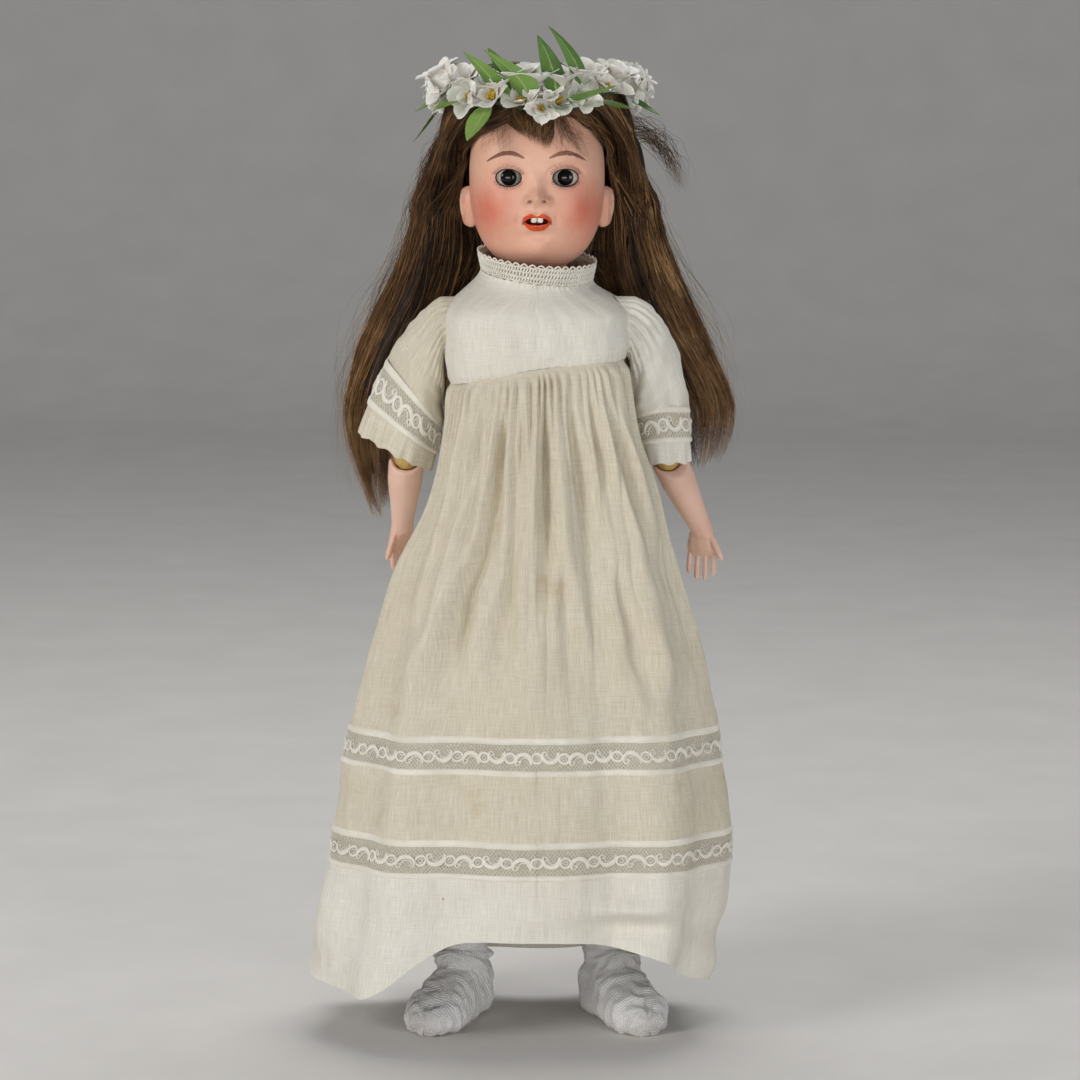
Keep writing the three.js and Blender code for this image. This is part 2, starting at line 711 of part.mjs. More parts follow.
function kneeCentre(side) {
  return down(THIGH_LENGTH).applyMatrix4(hipPlace(side));
}

function thigh(side) {
  const top = ball(HIP_RADIUS, new THREE.Vector3(), LIMB_SIDES);
  const limb = join(wholeLimb(THIGH_SECTIONS), top).applyMatrix4(hipPlace(side));
  const knee = kneeCentre(side);
  return cut(limb, cup(KNEE_BALL_RADIUS + TURN_GAP, knee), ...hingeCuts(knee, KNEE_BEND, 1, true));
}

function shinPlace(side) {
  return placed(kneeCentre(side), turned(LEG_LEAN, -side * LEG_SPREAD, 0));
}

// The foot lies level on the floor. Its rings follow each other from the heel to the toes.
function foot(side, extra, floor) {
  const ankle = down(THIGH_LENGTH + SHIN_LENGTH).applyMatrix4(hipPlace(side));
  const [heel, toe] = [FOOT_SECTIONS[0].along, FOOT_SECTIONS.at(-1).along];
  const rows = steps(FOOT_ROWS).map((t) => {
    const along = lerp(heel, toe, t);
    const half = through(FOOT_SECTIONS, 'width', 'along', along) + extra;
    const top = through(FOOT_SECTIONS, 'top', 'along', along) + extra;
    const y = -lerp(heel - extra, toe + extra, t);
    const round = top * (1 - FOOT_BELLY);
    return angles(LIMB_SIDES).map((angle) => {
      const p = outlinePoint(angle, half, half, round, round, FOOT_POWER);
      return new THREE.Vector3(p.x, y, Math.max(top * FOOT_BELLY - p.y, floor));
    });
  });
  const place = placed(new THREE.Vector3(ankle.x, ankle.y, 0), turned(0, 0, side * TOE_OUT));
  return loft(rows).applyMatrix4(place);
}

function lowerLeg(side) {
  const shin = wholeLimb(SHIN_SECTIONS).applyMatrix4(shinPlace(side));
  const knee = kneeCentre(side);
  const limb = cut(shin, cup(KNEE_BALL_RADIUS + SEAT_GAP, knee), ...hingeCuts(knee, KNEE_BEND, 1, false));
  return join(limb, foot(side, 0, SOCK_WALL + SOCK_GAP));
}

// The sock's leg hangs in soft rucks, and its foot fits the foot.
function sock(side) {
  const bottom = SHIN_SECTIONS.at(-1).drop;
  const outset = SOCK_GAP + SOCK_WALL;
  const ruckDrops = evenDrops(SOCK_TOP_DROP, bottom + SOCK_GAP, 2 * SOCK_RUCK_COUNT);
  const rucked = limbRows(SHIN_SECTIONS, ruckDrops, outset).map((row, i) => {
    const axis = new THREE.Vector3(0, 0, row[0].z);
    const grow = 1 + (i % 2 === 0 ? 0 : SOCK_RUCK) / row[0].distanceTo(axis);
    return row.map((p) => axis.clone().addScaledVector(p.clone().sub(axis), grow));
  });
  const outside = join(loft(rucked).applyMatrix4(shinPlace(side)), foot(side, outset, 0));
  const covered = SHIN_SECTIONS.map((section) => section.drop).filter((drop) => drop > SOCK_TOP_DROP);
  const openingDrops = [SOCK_TOP_DROP - SOCK_WALL, ...covered, bottom + SOCK_GAP];
  const opening = limbRows(SHIN_SECTIONS, openingDrops, SOCK_GAP);
  const inside = join(loft(opening).applyMatrix4(shinPlace(side)), foot(side, SOCK_GAP, SOCK_WALL));
  return cut(outside, inside);
}

// Arms

const UPPER_ARM_SECTIONS = [
  { drop: -10, radius: 4 },
  { drop: -7, radius: 8.5 },
  { drop: 0, radius: UPPER_ARM_RADIUS },
  { drop: 25, radius: UPPER_ARM_RADIUS },
  { drop: 60, radius: ELBOW_RADIUS + 0.5 },
  { drop: UPPER_ARM_LENGTH, radius: ELBOW_RADIUS },
];
const FOREARM_SECTIONS = [
  { drop: 0, radius: ELBOW_RADIUS },
  { drop: 16, radius: ELBOW_RADIUS },
  { drop: FOREARM_LENGTH - 8, radius: WRIST_RADIUS + 1 },
  { drop: FOREARM_LENGTH + 3, radius: WRIST_RADIUS },
];

function elbowCentre(side) {
  return new THREE.Vector3().applyMatrix4(elbowPlace(side));
}

function upperArm(side) {
  const limb = wholeLimb(UPPER_ARM_SECTIONS).applyMatrix4(shoulderPlace(side));
  const shoulder = new THREE.Vector3(side * SHOULDER_X, 0, SHOULDER_Z);
  const elbow = elbowCentre(side);
  const flank = new THREE.Vector3(side * ARM_PLANE, 0, SHOULDER_Z);
  const inner = halfSpace(flank, new THREE.Vector3(-side, 0, 0), CUT_REACH);
  const shoulderCup = cup(SHOULDER_BALL_RADIUS + SEAT_GAP, shoulder);
  const elbowCup = cup(ELBOW_BALL_RADIUS + TURN_GAP, elbow);
  return cut(limb, inner, shoulderCup, elbowCup, ...hingeCuts(elbow, ELBOW_BEND, -1, true));
}

function finger(from, to, radius) {
  const axis = to.clone().sub(from);
  const length = axis.length();
  const up = new THREE.Vector3(0, 0, 1);
  const turn = new THREE.Quaternion().setFromUnitVectors(up, axis.divideScalar(length));
  const shape = [
    { at: 0, radius },
    { at: length - radius, radius: 0.85 * radius },
    { at: length, radius: 0.35 * radius },
  ];
  const rows = shape.map((ring) => {
    return angles(FINGER_SIDES).map((angle) => {
      const p = new THREE.Vector3(ring.radius * Math.cos(angle), ring.radius * Math.sin(angle), ring.at);
      return p.applyQuaternion(turn).add(from);
    });
  });
  return loft(rows);
}

// A hand with its palm towards -Y and its thumb towards the side that is given.
function hand(side) {
  const rows = PALM_SECTIONS.map((ring) => {
    return angles(BALL_SIDES).map((angle) => {
      const p = outlinePoint(angle, ring.width, ring.width, ring.depth, ring.depth, PALM_POWER);
      return p.setZ(-ring.drop);
    });
  });
  const reach = PALM_HALF_WIDTH - FINGER_RADIUS - FINGER_EDGE;
  const fingers = steps(FINGER_COUNT - 1).map((t) => {
    const x = lerp(-reach, reach, t);
    const length = FINGER_SINK + FINGER_LENGTH * (1 - FINGER_ARCH * (t - 0.5) ** 2);
    const from = new THREE.Vector3(x, 0, -PALM_LENGTH + FINGER_SINK);
    const [forward, fall] = [Math.sin(FINGER_CURL), Math.cos(FINGER_CURL)];
    const curl = new THREE.Vector3(FINGER_FAN * x, -length * forward, -length * fall);
    return finger(from, from.clone().add(curl), FINGER_RADIUS);
  });
  const root = new THREE.Vector3(side * (PALM_HALF_WIDTH - THUMB.inset), -THUMB.forward, -THUMB.drop);
  const point = new THREE.Vector3(side * Math.sin(THUMB_SPREAD), -THUMB.forwards, -Math.cos(THUMB_SPREAD));
  const tip = root.clone().addScaledVector(point, FINGER_LENGTH - THUMB.shorter);
  const thumb = finger(root, tip, FINGER_RADIUS + THUMB.thicker);
  return join(loft(rows), ...fingers, thumb);
}

function forearm(side) {
  const pose = ARM_POSE[side];
  const bend = turned(0, side * degToRad(pose.wristIn), degToRad(pose.twist));
  const atWrist = placed(down(FOREARM_LENGTH), bend);
  const whole = join(wholeLimb(FOREARM_SECTIONS), hand(side).applyMatrix4(atWrist));
  const elbow = elbowCentre(side);
  const room = cup(ELBOW_BALL_RADIUS + SEAT_GAP, elbow);
  return cut(whole.applyMatrix4(elbowPlace(side)), room, ...hingeCuts(elbow, ELBOW_BEND, -1, false));
}

// Head

function faceRelief(x, z) {
  return FACE_RELIEF.reduce((sum, bump) => {
    const across = bump.pair ? bell(Math.abs(x), bump.x, bump.width) : bell(x, bump.x, bump.width);
    return sum + bump.rise * across * bell(z, bump.z, bump.height);
  }, 0);
}

// A point of the head's surface. Azimuth starts at the face and grows towards the doll's left.
function headPoint(azimuth, elevation, extra = 0, relief = 1) {
  const level = Math.cos(elevation);
  const ray = new THREE.Vector3(level * Math.sin(azimuth), -level * Math.cos(azimuth), Math.sin(elevation));
  const depth = ray.y < 0 ? HEAD_FRONT : HEAD_BACK;
  const height = ray.z < 0 ? HEAD_BOTTOM : HEAD_TOP;
  const reach = [ray.x / HEAD_HALF_WIDTH, ray.y / depth, ray.z / height]
    .reduce((sum, value) => sum + Math.abs(value) ** HEAD_POWER, 0);
  const front = smoothstep(-ray.y, 0.1, 0.55) * relief;
  const p = ray.multiplyScalar(reach ** (-1 / HEAD_POWER) + extra);
  p.y -= front * faceRelief(p.x, p.z);
  return p.add(HEAD_CENTRE);
}

// More columns lie in the face than behind it.
function headColumns(count) {
  return angles(count).map((u) => {
    const v = turnedAngle(u);
    return v - FACE_CROWDING * Math.sin(v);
  });
}

function headSkin(columns, bands) {
  const skin = new Skin();
  const rows = steps(bands).map((t) => {
    const elevation = lerp(-Math.PI / 2, Math.PI / 2, t);
    return headColumns(columns).map((azimuth) => headPoint(azimuth, elevation));
  });
  skin.grid(rows, true);
  return skin.geometry();
}

function crownCut(lift) {
  const normal = new THREE.Vector3(0, Math.sin(CROWN_CUT_TILT), Math.cos(CROWN_CUT_TILT));
  const point = HEAD_CENTRE.clone().setZ(HEAD_CENTRE.z + CROWN_CUT_HEIGHT);
  return halfSpace(point.addScaledVector(normal, lift), normal, CUT_REACH);
}

function headHollow() {
  const shell = ball(1, new THREE.Vector3(), HOLLOW_SIDES);
  const corner = shell.getAttribute('position');
  const p = new THREE.Vector3();
  for (let i = 0; i < corner.count; i += 1) {
    p.fromBufferAttribute(corner, i);
    const depth = p.y < 0 ? HEAD_FRONT - FACE_WALL : HEAD_BACK - HEAD_WALL;
    const height = p.z < 0 ? HEAD_BOTTOM - FACE_WALL : HEAD_TOP - HEAD_WALL;
    corner.setXYZ(i, p.x * (HEAD_HALF_WIDTH - HEAD_WALL), p.y * depth, p.z * height);
  }
  return shell.translate(HEAD_CENTRE.x, HEAD_CENTRE.y, HEAD_CENTRE.z);
}

function ear(side) {
  const centre = HEAD_CENTRE.clone().add(new THREE.Vector3(side * HEAD_HALF_WIDTH, EAR.y, EAR.z));
  const flap = pebble(EAR.halfWidth, EAR.halfDepth, EAR.halfHeight, centre);
  const bowl = pebble(
    EAR.halfWidth * CONCHA.size,
    EAR.halfDepth * CONCHA.size,
    EAR.halfHeight * CONCHA.size,
    centre.clone().add(new THREE.Vector3(side * EAR.halfWidth, -CONCHA.forward, 0)),
  );
  return cut(flap, bowl);
}

function eyeCentre(side) {
  return HEAD_CENTRE.clone().add(new THREE.Vector3(side * EYE_HALF_SPACING, -EYE_DEPTH, 0));
}

// A rod of oval section along Y, through the face.
function ovalRod(centre, halfWidth, halfHeight, length) {
  const rod = new THREE.CylinderGeometry(1, 1, length, BALL_SIDES).scale(halfWidth, 1, halfHeight);
  return rod.translate(centre.x, centre.y - length / 2, centre.z);
}

function mouthCentre() {
  return HEAD_CENTRE.clone().add(new THREE.Vector3(0, MOUTH_POCKET.y, MOUTH.z));
}

function neckAndBall() {
  const top = HEAD_RISE - HEAD_BOTTOM + NECK_SINK;
  const profile = [new THREE.Vector2(0, -NECK_BALL_RADIUS)];
  for (const t of steps(NECK_BALL_BANDS)) {
    const lift = lerp(NECK_BALL_ARC.from, NECK_BALL_ARC.to, t);
    profile.push(new THREE.Vector2(NECK_BALL_RADIUS * Math.cos(lift), NECK_BALL_RADIUS * Math.sin(lift)));
  }
  profile.push(new THREE.Vector2(NECK_RADIUS, top), new THREE.Vector2(0, top));
  const neck = new THREE.LatheGeometry(profile, LIMB_SIDES).rotateX(Math.PI / 2);
  return neck.translate(0, NECK_Y, NECK_Z);
}

function bisqueHead() {
  const whole = join(headSkin(HEAD_COLUMNS, HEAD_ROWS), neckAndBall(), ear(LEFT), ear(RIGHT));
  const holeTop = new THREE.Vector3(0, NECK_Y, NECK_Z);
  const length = 2 * NECK_BALL_RADIUS + HEAD_RISE;
  const bore = new THREE.CylinderGeometry(NECK_HOLE_RADIUS, NECK_HOLE_RADIUS, length, BALL_SIDES);
  bore.rotateX(Math.PI / 2).translate(holeTop.x, holeTop.y, holeTop.z);
  const seatRadius = PLUG_RADIUS + SEAT_GAP;
  const seat = new THREE.CylinderGeometry(seatRadius, seatRadius, HEAD_RISE, LIMB_SIDES);
  seat.rotateX(Math.PI / 2).translate(0, NECK_Y, NECK_Z + HEAD_RISE / 2);
  const eyes = [LEFT, RIGHT].flatMap((side) => [
    cup(EYE_RADIUS + TURN_GAP, eyeCentre(side), EYE_SIDES),
    ovalRod(eyeCentre(side), EYE_OPENING.halfWidth, EYE_OPENING.halfHeight, CUT_MARGIN),
  ]);
  const pocket = pebble(
    MOUTH_POCKET.halfWidth,
    MOUTH_POCKET.halfDepth,
    MOUTH_POCKET.halfHeight,
    mouthCentre(),
  );
  const slit = ovalRod(mouthCentre(), MOUTH.halfWidth, MOUTH.halfHeight, CUT_MARGIN);
  return cut(whole, headHollow(), crownCut(0), bore, seat, ...eyes, pocket, slit);
}

function pate() {
  const dome = common(headSkin(HOLLOW_SIDES, HOLLOW_SIDES), crownCut(SEAT_GAP));
  return cut(dome, headHollow());
}

function eyeRocker() {
  const [left, right] = [eyeCentre(LEFT), eyeCentre(RIGHT)];
  const inset = new THREE.Vector3(EYE_RADIUS + SEAT_GAP, 0, 0);
  const bar = tube([left.clone().sub(inset), right.clone().add(inset)], ROCKER_RADIUS, 1);
  const middle = left.clone().add(right).divideScalar(2);
  const reach = WEIGHT_ARM - WEIGHT_RADIUS - SEAT_GAP;
  const low = middle.clone().add(new THREE.Vector3(0, WEIGHT_SET_BACK, -reach));
  const stem = tube([middle, low], ROCKER_RADIUS, 1);
  return join(bar, stem);
}

function eyeWeight() {
  const middle = eyeCentre(LEFT).setX(0);
  return ball(WEIGHT_RADIUS, middle.add(new THREE.Vector3(0, WEIGHT_SET_BACK, -WEIGHT_ARM)));
}

// How far forward the pocket behind the lips reaches at a place seen from the front.
function pocketFront(x, z) {
  const round = 1 - (x / MOUTH_POCKET.halfWidth) ** 2 - (z / MOUTH_POCKET.halfHeight) ** 2;
  return mouthCentre().y - MOUTH_POCKET.halfDepth * Math.sqrt(round);
}

// Two teeth hang from one strip, behind the upper lip.
function upperTeeth() {
  const centre = mouthCentre();
  const halfStrip = TOOTH.width + TOOTH.gap / 2;
  const stripTop = MOUTH.halfHeight + TOOTH.height;
  const y = pocketFront(halfStrip, stripTop) + 2 * SEAT_GAP + TOOTH.depth / 2;
  const strip = new THREE.BoxGeometry(2 * halfStrip, TOOTH.depth, TOOTH.height);
  strip.translate(0, y, centre.z + stripTop - TOOTH.height / 2);
  const teeth = [LEFT, RIGHT].map((side) => {
    const x = (side * (TOOTH.width + TOOTH.gap)) / 2;
    const place = new THREE.Vector3(x, y, centre.z + MOUTH.halfHeight);
    return pebble(TOOTH.width / 2, TOOTH.depth / 2, TOOTH.height / 2, place, BALL_SIDES);
  });
  return join(strip, ...teeth);
}

function tongue() {
  const centre = mouthCentre();
  const rest = -MOUTH_POCKET.halfHeight + TONGUE.halfHeight + TONGUE.lift;
  return pebble(TONGUE.halfWidth, TONGUE.halfDepth, TONGUE.halfHeight, centre.setZ(centre.z + rest));
}

// Stringing

function neckPlug() {
  const profile = [
    new THREE.Vector2(HOOK_WIRE_RADIUS + SEAT_GAP, 0),
    new THREE.Vector2(PLUG_RADIUS, 0),
    new THREE.Vector2(PLUG_RADIUS, PLUG_HEIGHT),
    new THREE.Vector2(HOOK_WIRE_RADIUS + SEAT_GAP, PLUG_HEIGHT),
    new THREE.Vector2(HOOK_WIRE_RADIUS + SEAT_GAP, 0),
  ];
  const plug = new THREE.LatheGeometry(profile, LIMB_SIDES).rotateX(Math.PI / 2);
  return plug.translate(0, NECK_Y, NECK_Z + SEAT_GAP);
}

function hookEnd() {
  return new THREE.Vector3(0, NECK_Y + HOOK_SET_BACK, NECK_Z - HOOK_DROP);
}

function neckHook() {
  const top = NECK_Z + SEAT_GAP + PLUG_HEIGHT;
  const end = hookEnd();
  const wire = tube(
    [
      new THREE.Vector3(0, NECK_Y, top + HOOK_HEAD.sink),
      new THREE.Vector3(0, NECK_Y, NECK_Z),
      new THREE.Vector3(0, NECK_Y, NECK_Z - NECK_BALL_RADIUS),
      new THREE.Vector3(0, end.y, end.z + HOOK_TAIL),
    ],
    HOOK_WIRE_RADIUS,
    WIRE_SIDES,
  );
  const middle = new THREE.Vector3(0, NECK_Y, top + HOOK_HEAD.halfHeight + SEAT_GAP);
  const head = pebble(HOOK_HEAD.radius, HOOK_HEAD.radius, HOOK_HEAD.halfHeight, middle, WIRE_SIDES);
  const eye = ball(HOOK_EYE_RADIUS, end, WIRE_SIDES);
  return join(wire, head, eye);
}

function armElastic() {
  const reach = SHOULDER_X - SHOULDER_BALL_RADIUS - SEAT_GAP;
  const points = [LEFT, 0, RIGHT].map((side) => new THREE.Vector3(side * reach, 0, SHOULDER_Z));
  return tube(points, ELASTIC_RADIUS);
}

function legElastic(side) {
  const hipTop = HIP_Z + HIP_RADIUS;
  const x = side * HIP_HALF_SPACING;
  const top = hookEnd().add(new THREE.Vector3(side * LEG_ELASTIC.spread, 0, -LEG_ELASTIC.drop));
  const back = HIP_Y + LEG_ELASTIC.back;
  const bend = new THREE.Vector3(x * LEG_ELASTIC.inwards, back, hipTop + LEG_ELASTIC.up);
  const end = new THREE.Vector3(x, HIP_Y, hipTop + LEG_ELASTIC.over);
  return tube([top, bend, end], ELASTIC_RADIUS);
}

// Wig

// How low the wig comes, as an elevation seen from the middle of the head.
function hairline(azimuth) {
  const turn = Math.abs(turnedAngle(azimuth));
  const toSide = smoothstep(turn, degToRad(25), degToRad(85));
  const toBack = smoothstep(turn, degToRad(95), degToRad(140));
  return degToRad(lerp(lerp(HAIRLINE.front, HAIRLINE.side, toSide), HAIRLINE.back, toBack));
}

function hairThickness(azimuth, elevation) {
  const side = Math.sin(azimuth) ** 2 * Math.cos(elevation);
  const edge = smoothstep(elevation - hairline(azimuth), HAIR_RAMP.from, HAIR_RAMP.to);
  return HAIR_TOP * lerp(HAIR_EDGE_SHARE, 1, edge) + HAIR_SIDE * side * Math.cos(azimuth / 2) ** 2;
}

// Rings of points over the wig from its edge to the crown, at a given height over the head.
function wigRows(height, shares = steps(WIG_ROWS)) {
  return shares.map((t) => angles(WIG_COLUMNS).map((azimuth) => {
    const elevation = lerp(hairline(azimuth), Math.PI / 2, t);
    return headPoint(azimuth, elevation, height(azimuth, elevation));
  }));
}

function wigTop(azimuth, elevation) {
  return HAIR_GAP + hairThickness(azimuth, elevation);
}

function wigCrown() {
  return wall(wigRows(wigTop), wigRows(() => HAIR_GAP), true);
}

// Everything that the wig and the head under it take up, for what lies against them.
function wigRoom() {
  const shares = [-WIG_EDGE_ROOM, ...steps(WIG_ROWS)];
  const outer = wigRows((azimuth, elevation) => wigTop(azimuth, elevation) + SEAT_GAP, shares);
  return join(loft(outer), wall(outer, wigRows(() => 0, shares), true));
}

function fringe() {
  const rows = steps(FRINGE_ROWS);
  const columns = steps(FRINGE_COLUMNS);
  const surface = (thickness) => rows.map((t) => {
    return columns.map((u) => {
      const azimuth = lerp(-FRINGE_HALF_ANGLE, FRINGE_HALF_ANGLE, u) + FRINGE_TURN;
      const middle = Math.sin(Math.PI * u);
      const tuft = lerp(FRINGE_EDGE.length, 1, middle);
      const elevation = hairline(azimuth) - FRINGE_START - t * tuft * FRINGE_DROP;
      const body = thickness * lerp(1, FRINGE_EDGE.tip, t) * lerp(FRINGE_EDGE.thickness, 1, middle);
      return headPoint(azimuth, elevation, SEAT_GAP + body);
    });
  });
  return wall(surface(FRINGE_THICKNESS), surface(0), false);
}

// A long lock of hair: a loft of lobed ovals along its fall, less what the crown takes up.
function lock(fall) {
  const rows = fall.map((place) => {
    return angles(LOCK_SIDES).map((angle) => {
      const lobes = 1 - LOCK_LOBE_DEPTH * (1 + Math.cos(LOCK_LOBES * angle)) / 2;
      const x = place.x + lobes * place.halfWidth * Math.cos(angle);
      const y = place.y + lobes * place.halfDepth * Math.sin(angle);
      return new THREE.Vector3(x, y, HEAD_CENTRE.z + place.up);
    });
  });
  return cut(loft(rows), wigRoom());
}

// The long hair comes out from under the crown and falls behind the arms.
const SIDE_FALLS = {
  [LEFT]: [
    { x: 46, y: 16, up: 36, halfWidth: 8, halfDepth: 14 },
    { x: 54, y: 18, up: 16, halfWidth: 12, halfDepth: 17 },
    { x: 58, y: 29, up: -6, halfWidth: 12, halfDepth: 14 },
    { x: 60, y: 33, up: -28, halfWidth: 14, halfDepth: 12 },
    { x: 66, y: 39, up: -60, halfWidth: 19, halfDepth: 11 },
    { x: 85, y: 44, up: -105, halfWidth: 21, halfDepth: 10 },
    { x: 102, y: 45, up: -145, halfWidth: 19, halfDepth: 10 },
    { x: 103, y: 44, up: -172, halfWidth: 12, halfDepth: 8 },
    { x: 100, y: 43, up: -188, halfWidth: 4, halfDepth: 4 },
  ],
  [RIGHT]: [
    { x: 46, y: 16, up: 36, halfWidth: 8, halfDepth: 14 },
    { x: 54, y: 18, up: 16, halfWidth: 12, halfDepth: 17 },
    { x: 60, y: 29, up: -6, halfWidth: 13, halfDepth: 14 },
    { x: 61, y: 34, up: -28, halfWidth: 15, halfDepth: 12 },
    { x: 68, y: 41, up: -60, halfWidth: 19, halfDepth: 11 },
    { x: 87, y: 46, up: -105, halfWidth: 20, halfDepth: 10 },
    { x: 100, y: 47, up: -145, halfWidth: 16, halfDepth: 10 },
    { x: 100, y: 46, up: -182, halfWidth: 11, halfDepth: 9 },
    { x: 95, y: 44, up: -218, halfWidth: 3, halfDepth: 4 },
  ],
};
const BACK_FALL = [
  { up: -36, y: 46, halfWidth: 24, halfDepth: 5 },
  { up: -60, y: 53, halfWidth: 40, halfDepth: 6 },
  { up: -95, y: 60, halfWidth: 52, halfDepth: 7 },
  { up: -135, y: 64, halfWidth: 60, halfDepth: 7 },
  { up: -175, y: 64, halfWidth: 56, halfDepth: 6 },
  { up: -200, y: 63, halfWidth: 40, halfDepth: 4 },
];

function sideLock(side) {
  return lock(SIDE_FALLS[side].map((place) => ({ ...place, x: side * place.x })));
}

function backHair() {
  return lock(BACK_FALL.map((place) => ({ ...place, x: 0 })));
}

// Wreath

function wreathPoint(azimuth) {
  const over = wigTop(azimuth, WREATH_ELEVATION) + WREATH_WIRE_RADIUS + 3 * SEAT_GAP;
  return headPoint(azimuth, WREATH_ELEVATION, over);
}

function wreathRing() {
  const middle = HEAD_CENTRE.clone().setZ(wreathPoint(0).z);
  const rows = angles(WIG_COLUMNS).map((azimuth) => {
    const centre = wreathPoint(azimuth);
    const outwards = centre.clone().sub(middle).setZ(0).normalize();
    return angles(WIRE_SIDES).map((angle) => {
      const p = centre.clone().addScaledVector(outwards, WREATH_WIRE_RADIUS * Math.cos(angle));
      return p.setZ(p.z + WREATH_WIRE_RADIUS * Math.sin(angle));
    });
  });
  const skin = new Skin();
  skin.grid([...rows, rows[0]], true);
  return skin.geometry();
}

// Where something that grows from the wire starts, and which way it points.
function wreathSeat(azimuth, up) {
  const level = new THREE.Vector3(Math.sin(azimuth), -Math.cos(azimuth), 0);
  const direction = level.multiplyScalar(Math.cos(up)).setZ(Math.sin(up));
  const start = wreathPoint(azimuth).addScaledVector(direction, WREATH_WIRE_RADIUS + 2 * SEAT_GAP);
  return { start, turn: new THREE.Quaternion().setFromUnitVectors(new THREE.Vector3(0, 0, 1), direction) };
}

// A cup of pointed petals that opens along +Z from a closed base.
function flower(azimuth) {
  const bowl = (shrink, lift) => FLOWER_BANDS.map((t, row) => {
    return angles(FLOWER_SIDES).map((angle) => {
      const lobe = 1 - PETAL_NOTCH * (1 - Math.cos(PETALS * angle));
      const open = lerp(FLOWER_BASE_RADIUS, FLOWER_RADIUS, t ** FLOWER_FLARE) * (row > 1 ? lobe : 1);
      const radius = row === 0 ? 0 : open - shrink;
      const height = lift * (1 - t) + FLOWER_DEPTH * t * lobe;
      return new THREE.Vector3(radius * Math.cos(angle), radius * Math.sin(angle), height);
    });
  });
  const seat = wreathSeat(azimuth, FLOWER_UP);
  const cup = wall(bowl(0, 0), bowl(FLOWER_WALL, 2 * FLOWER_WALL), true);
  return cup.applyQuaternion(seat.turn).translate(seat.start.x, seat.start.y, seat.start.z);
}

function leaf(place) {
  const side = (thickness) => steps(LEAF_ROWS).map((t) => {
    const belly = Math.sin(Math.PI * lerp(LEAF_ENDS.from, LEAF_ENDS.to, t));
    const half = LEAF_HALF_WIDTH * belly ** LEAF_ENDS.roundness;
    return [-half, 0, half].map((across) => {
      const fold = LEAF_FOLD * Math.abs(across);
      return new THREE.Vector3(across, LEAF_CURL * t * t - fold + thickness, LEAF_LENGTH * t);
    });
  });
  const azimuth = degToRad(place.azimuth);
  const level = new THREE.Quaternion().setFromAxisAngle(new THREE.Vector3(0, 0, 1), azimuth);
  const up = degToRad(place.up);
  const lean = new THREE.Quaternion().setFromAxisAngle(new THREE.Vector3(1, 0, 0), Math.PI / 2 - up);
  const start = wreathSeat(azimuth, up).start;
  const blade = wall(side(LEAF_WALL / 2), side(-LEAF_WALL / 2), false);
  return blade.applyQuaternion(level.multiply(lean)).translate(start.x, start.y, start.z);
}

// Dress

function waistZ(angle) {
  return WAIST_Z + WAIST_SLANT.side * Math.sin(angle) + WAIST_SLANT.front * Math.cos(angle);
}

function collarZ(angle) {
  return COLLAR_Z - COLLAR.front * Math.cos(angle) - COLLAR.side * Math.sin(angle);
}

// How far from the middle the bodice lies at a share of its height, before its neck rounds off.
function bodiceHalf(full, t, roundness) {
  return lerp(full, COLLAR.bottomRadius, smoothstep(t, SHOULDER_START, 1) ** roundness);
}

function bearing(p) {
  return Math.atan2(p.x, -p.y);
}

// The bodice runs from the waist seam up to the neck edge and rounds over the shoulders.
function bodicePoint(angle, t, inset) {
  const side = bodiceHalf(BODICE_HALF_WIDTH, t, SHOULDER_ROUND.side) - inset;
  const front = bodiceHalf(BODICE_FRONT, t, SHOULDER_ROUND.front) - inset;
  const back = bodiceHalf(BODICE_BACK, t, SHOULDER_ROUND.front) - inset;
  const power = lerp(BODICE_POWER, 2, smoothstep(t, SHOULDER_START, 1));
  const p = outlinePoint(angle, side, side, front, back, power);
  const way = bearing(p);
  return p.setZ(lerp(waistZ(way) + SEAT_GAP, collarZ(way) - SEAT_GAP, t));
}

function armhole(side) {
  const rod = new THREE.CylinderGeometry(ARMHOLE_RADIUS, ARMHOLE_RADIUS, CUT_MARGIN, HOLLOW_SIDES);
  return rod.rotateZ(Math.PI / 2).translate(side * BODICE_HALF_WIDTH, 0, SHOULDER_Z);
}

function bodice() {
  const surface = (inset) => steps(BODICE_ROWS).map((t) => {
    return angles(BODICE_SIDES).map((angle) => bodicePoint(angle, t, inset));
  });
  return cut(wall(surface(0), surface(CLOTH_WALL), true), armhole(LEFT), armhole(RIGHT));
}

function collar() {
  const surface = (inset) => steps(2).map((t) => {
    const radius = lerp(COLLAR.bottomRadius, COLLAR.topRadius, t) - inset;
    return angles(BODICE_SIDES).map((angle) => {
      const z = collarZ(angle) + t * COLLAR.height;
      return new THREE.Vector3(radius * Math.sin(angle), -radius * Math.cos(angle), z);
    });
  });
  return wall(surface(0), surface(COLLAR.wall), true);
}

function backButton(index) {
  const z = SHOULDER_Z - BUTTON.drop + (index - (BUTTON.count - 1) / 2) * BUTTON.spacing;
  const [low, high] = [waistZ(Math.PI), collarZ(Math.PI)];
  const seats = [-BUTTON.radius, 0, BUTTON.radius].map((up) => {
    return bodicePoint(Math.PI, (z + up - low) / (high - low), 0).y;
  });
  const disc = new THREE.CylinderGeometry(BUTTON.radius, BUTTON.radius, BUTTON.thickness, BALL_SIDES);
  return disc.translate(0, Math.max(...seats) + 2 * SEAT_GAP + BUTTON.thickness / 2, z);
}

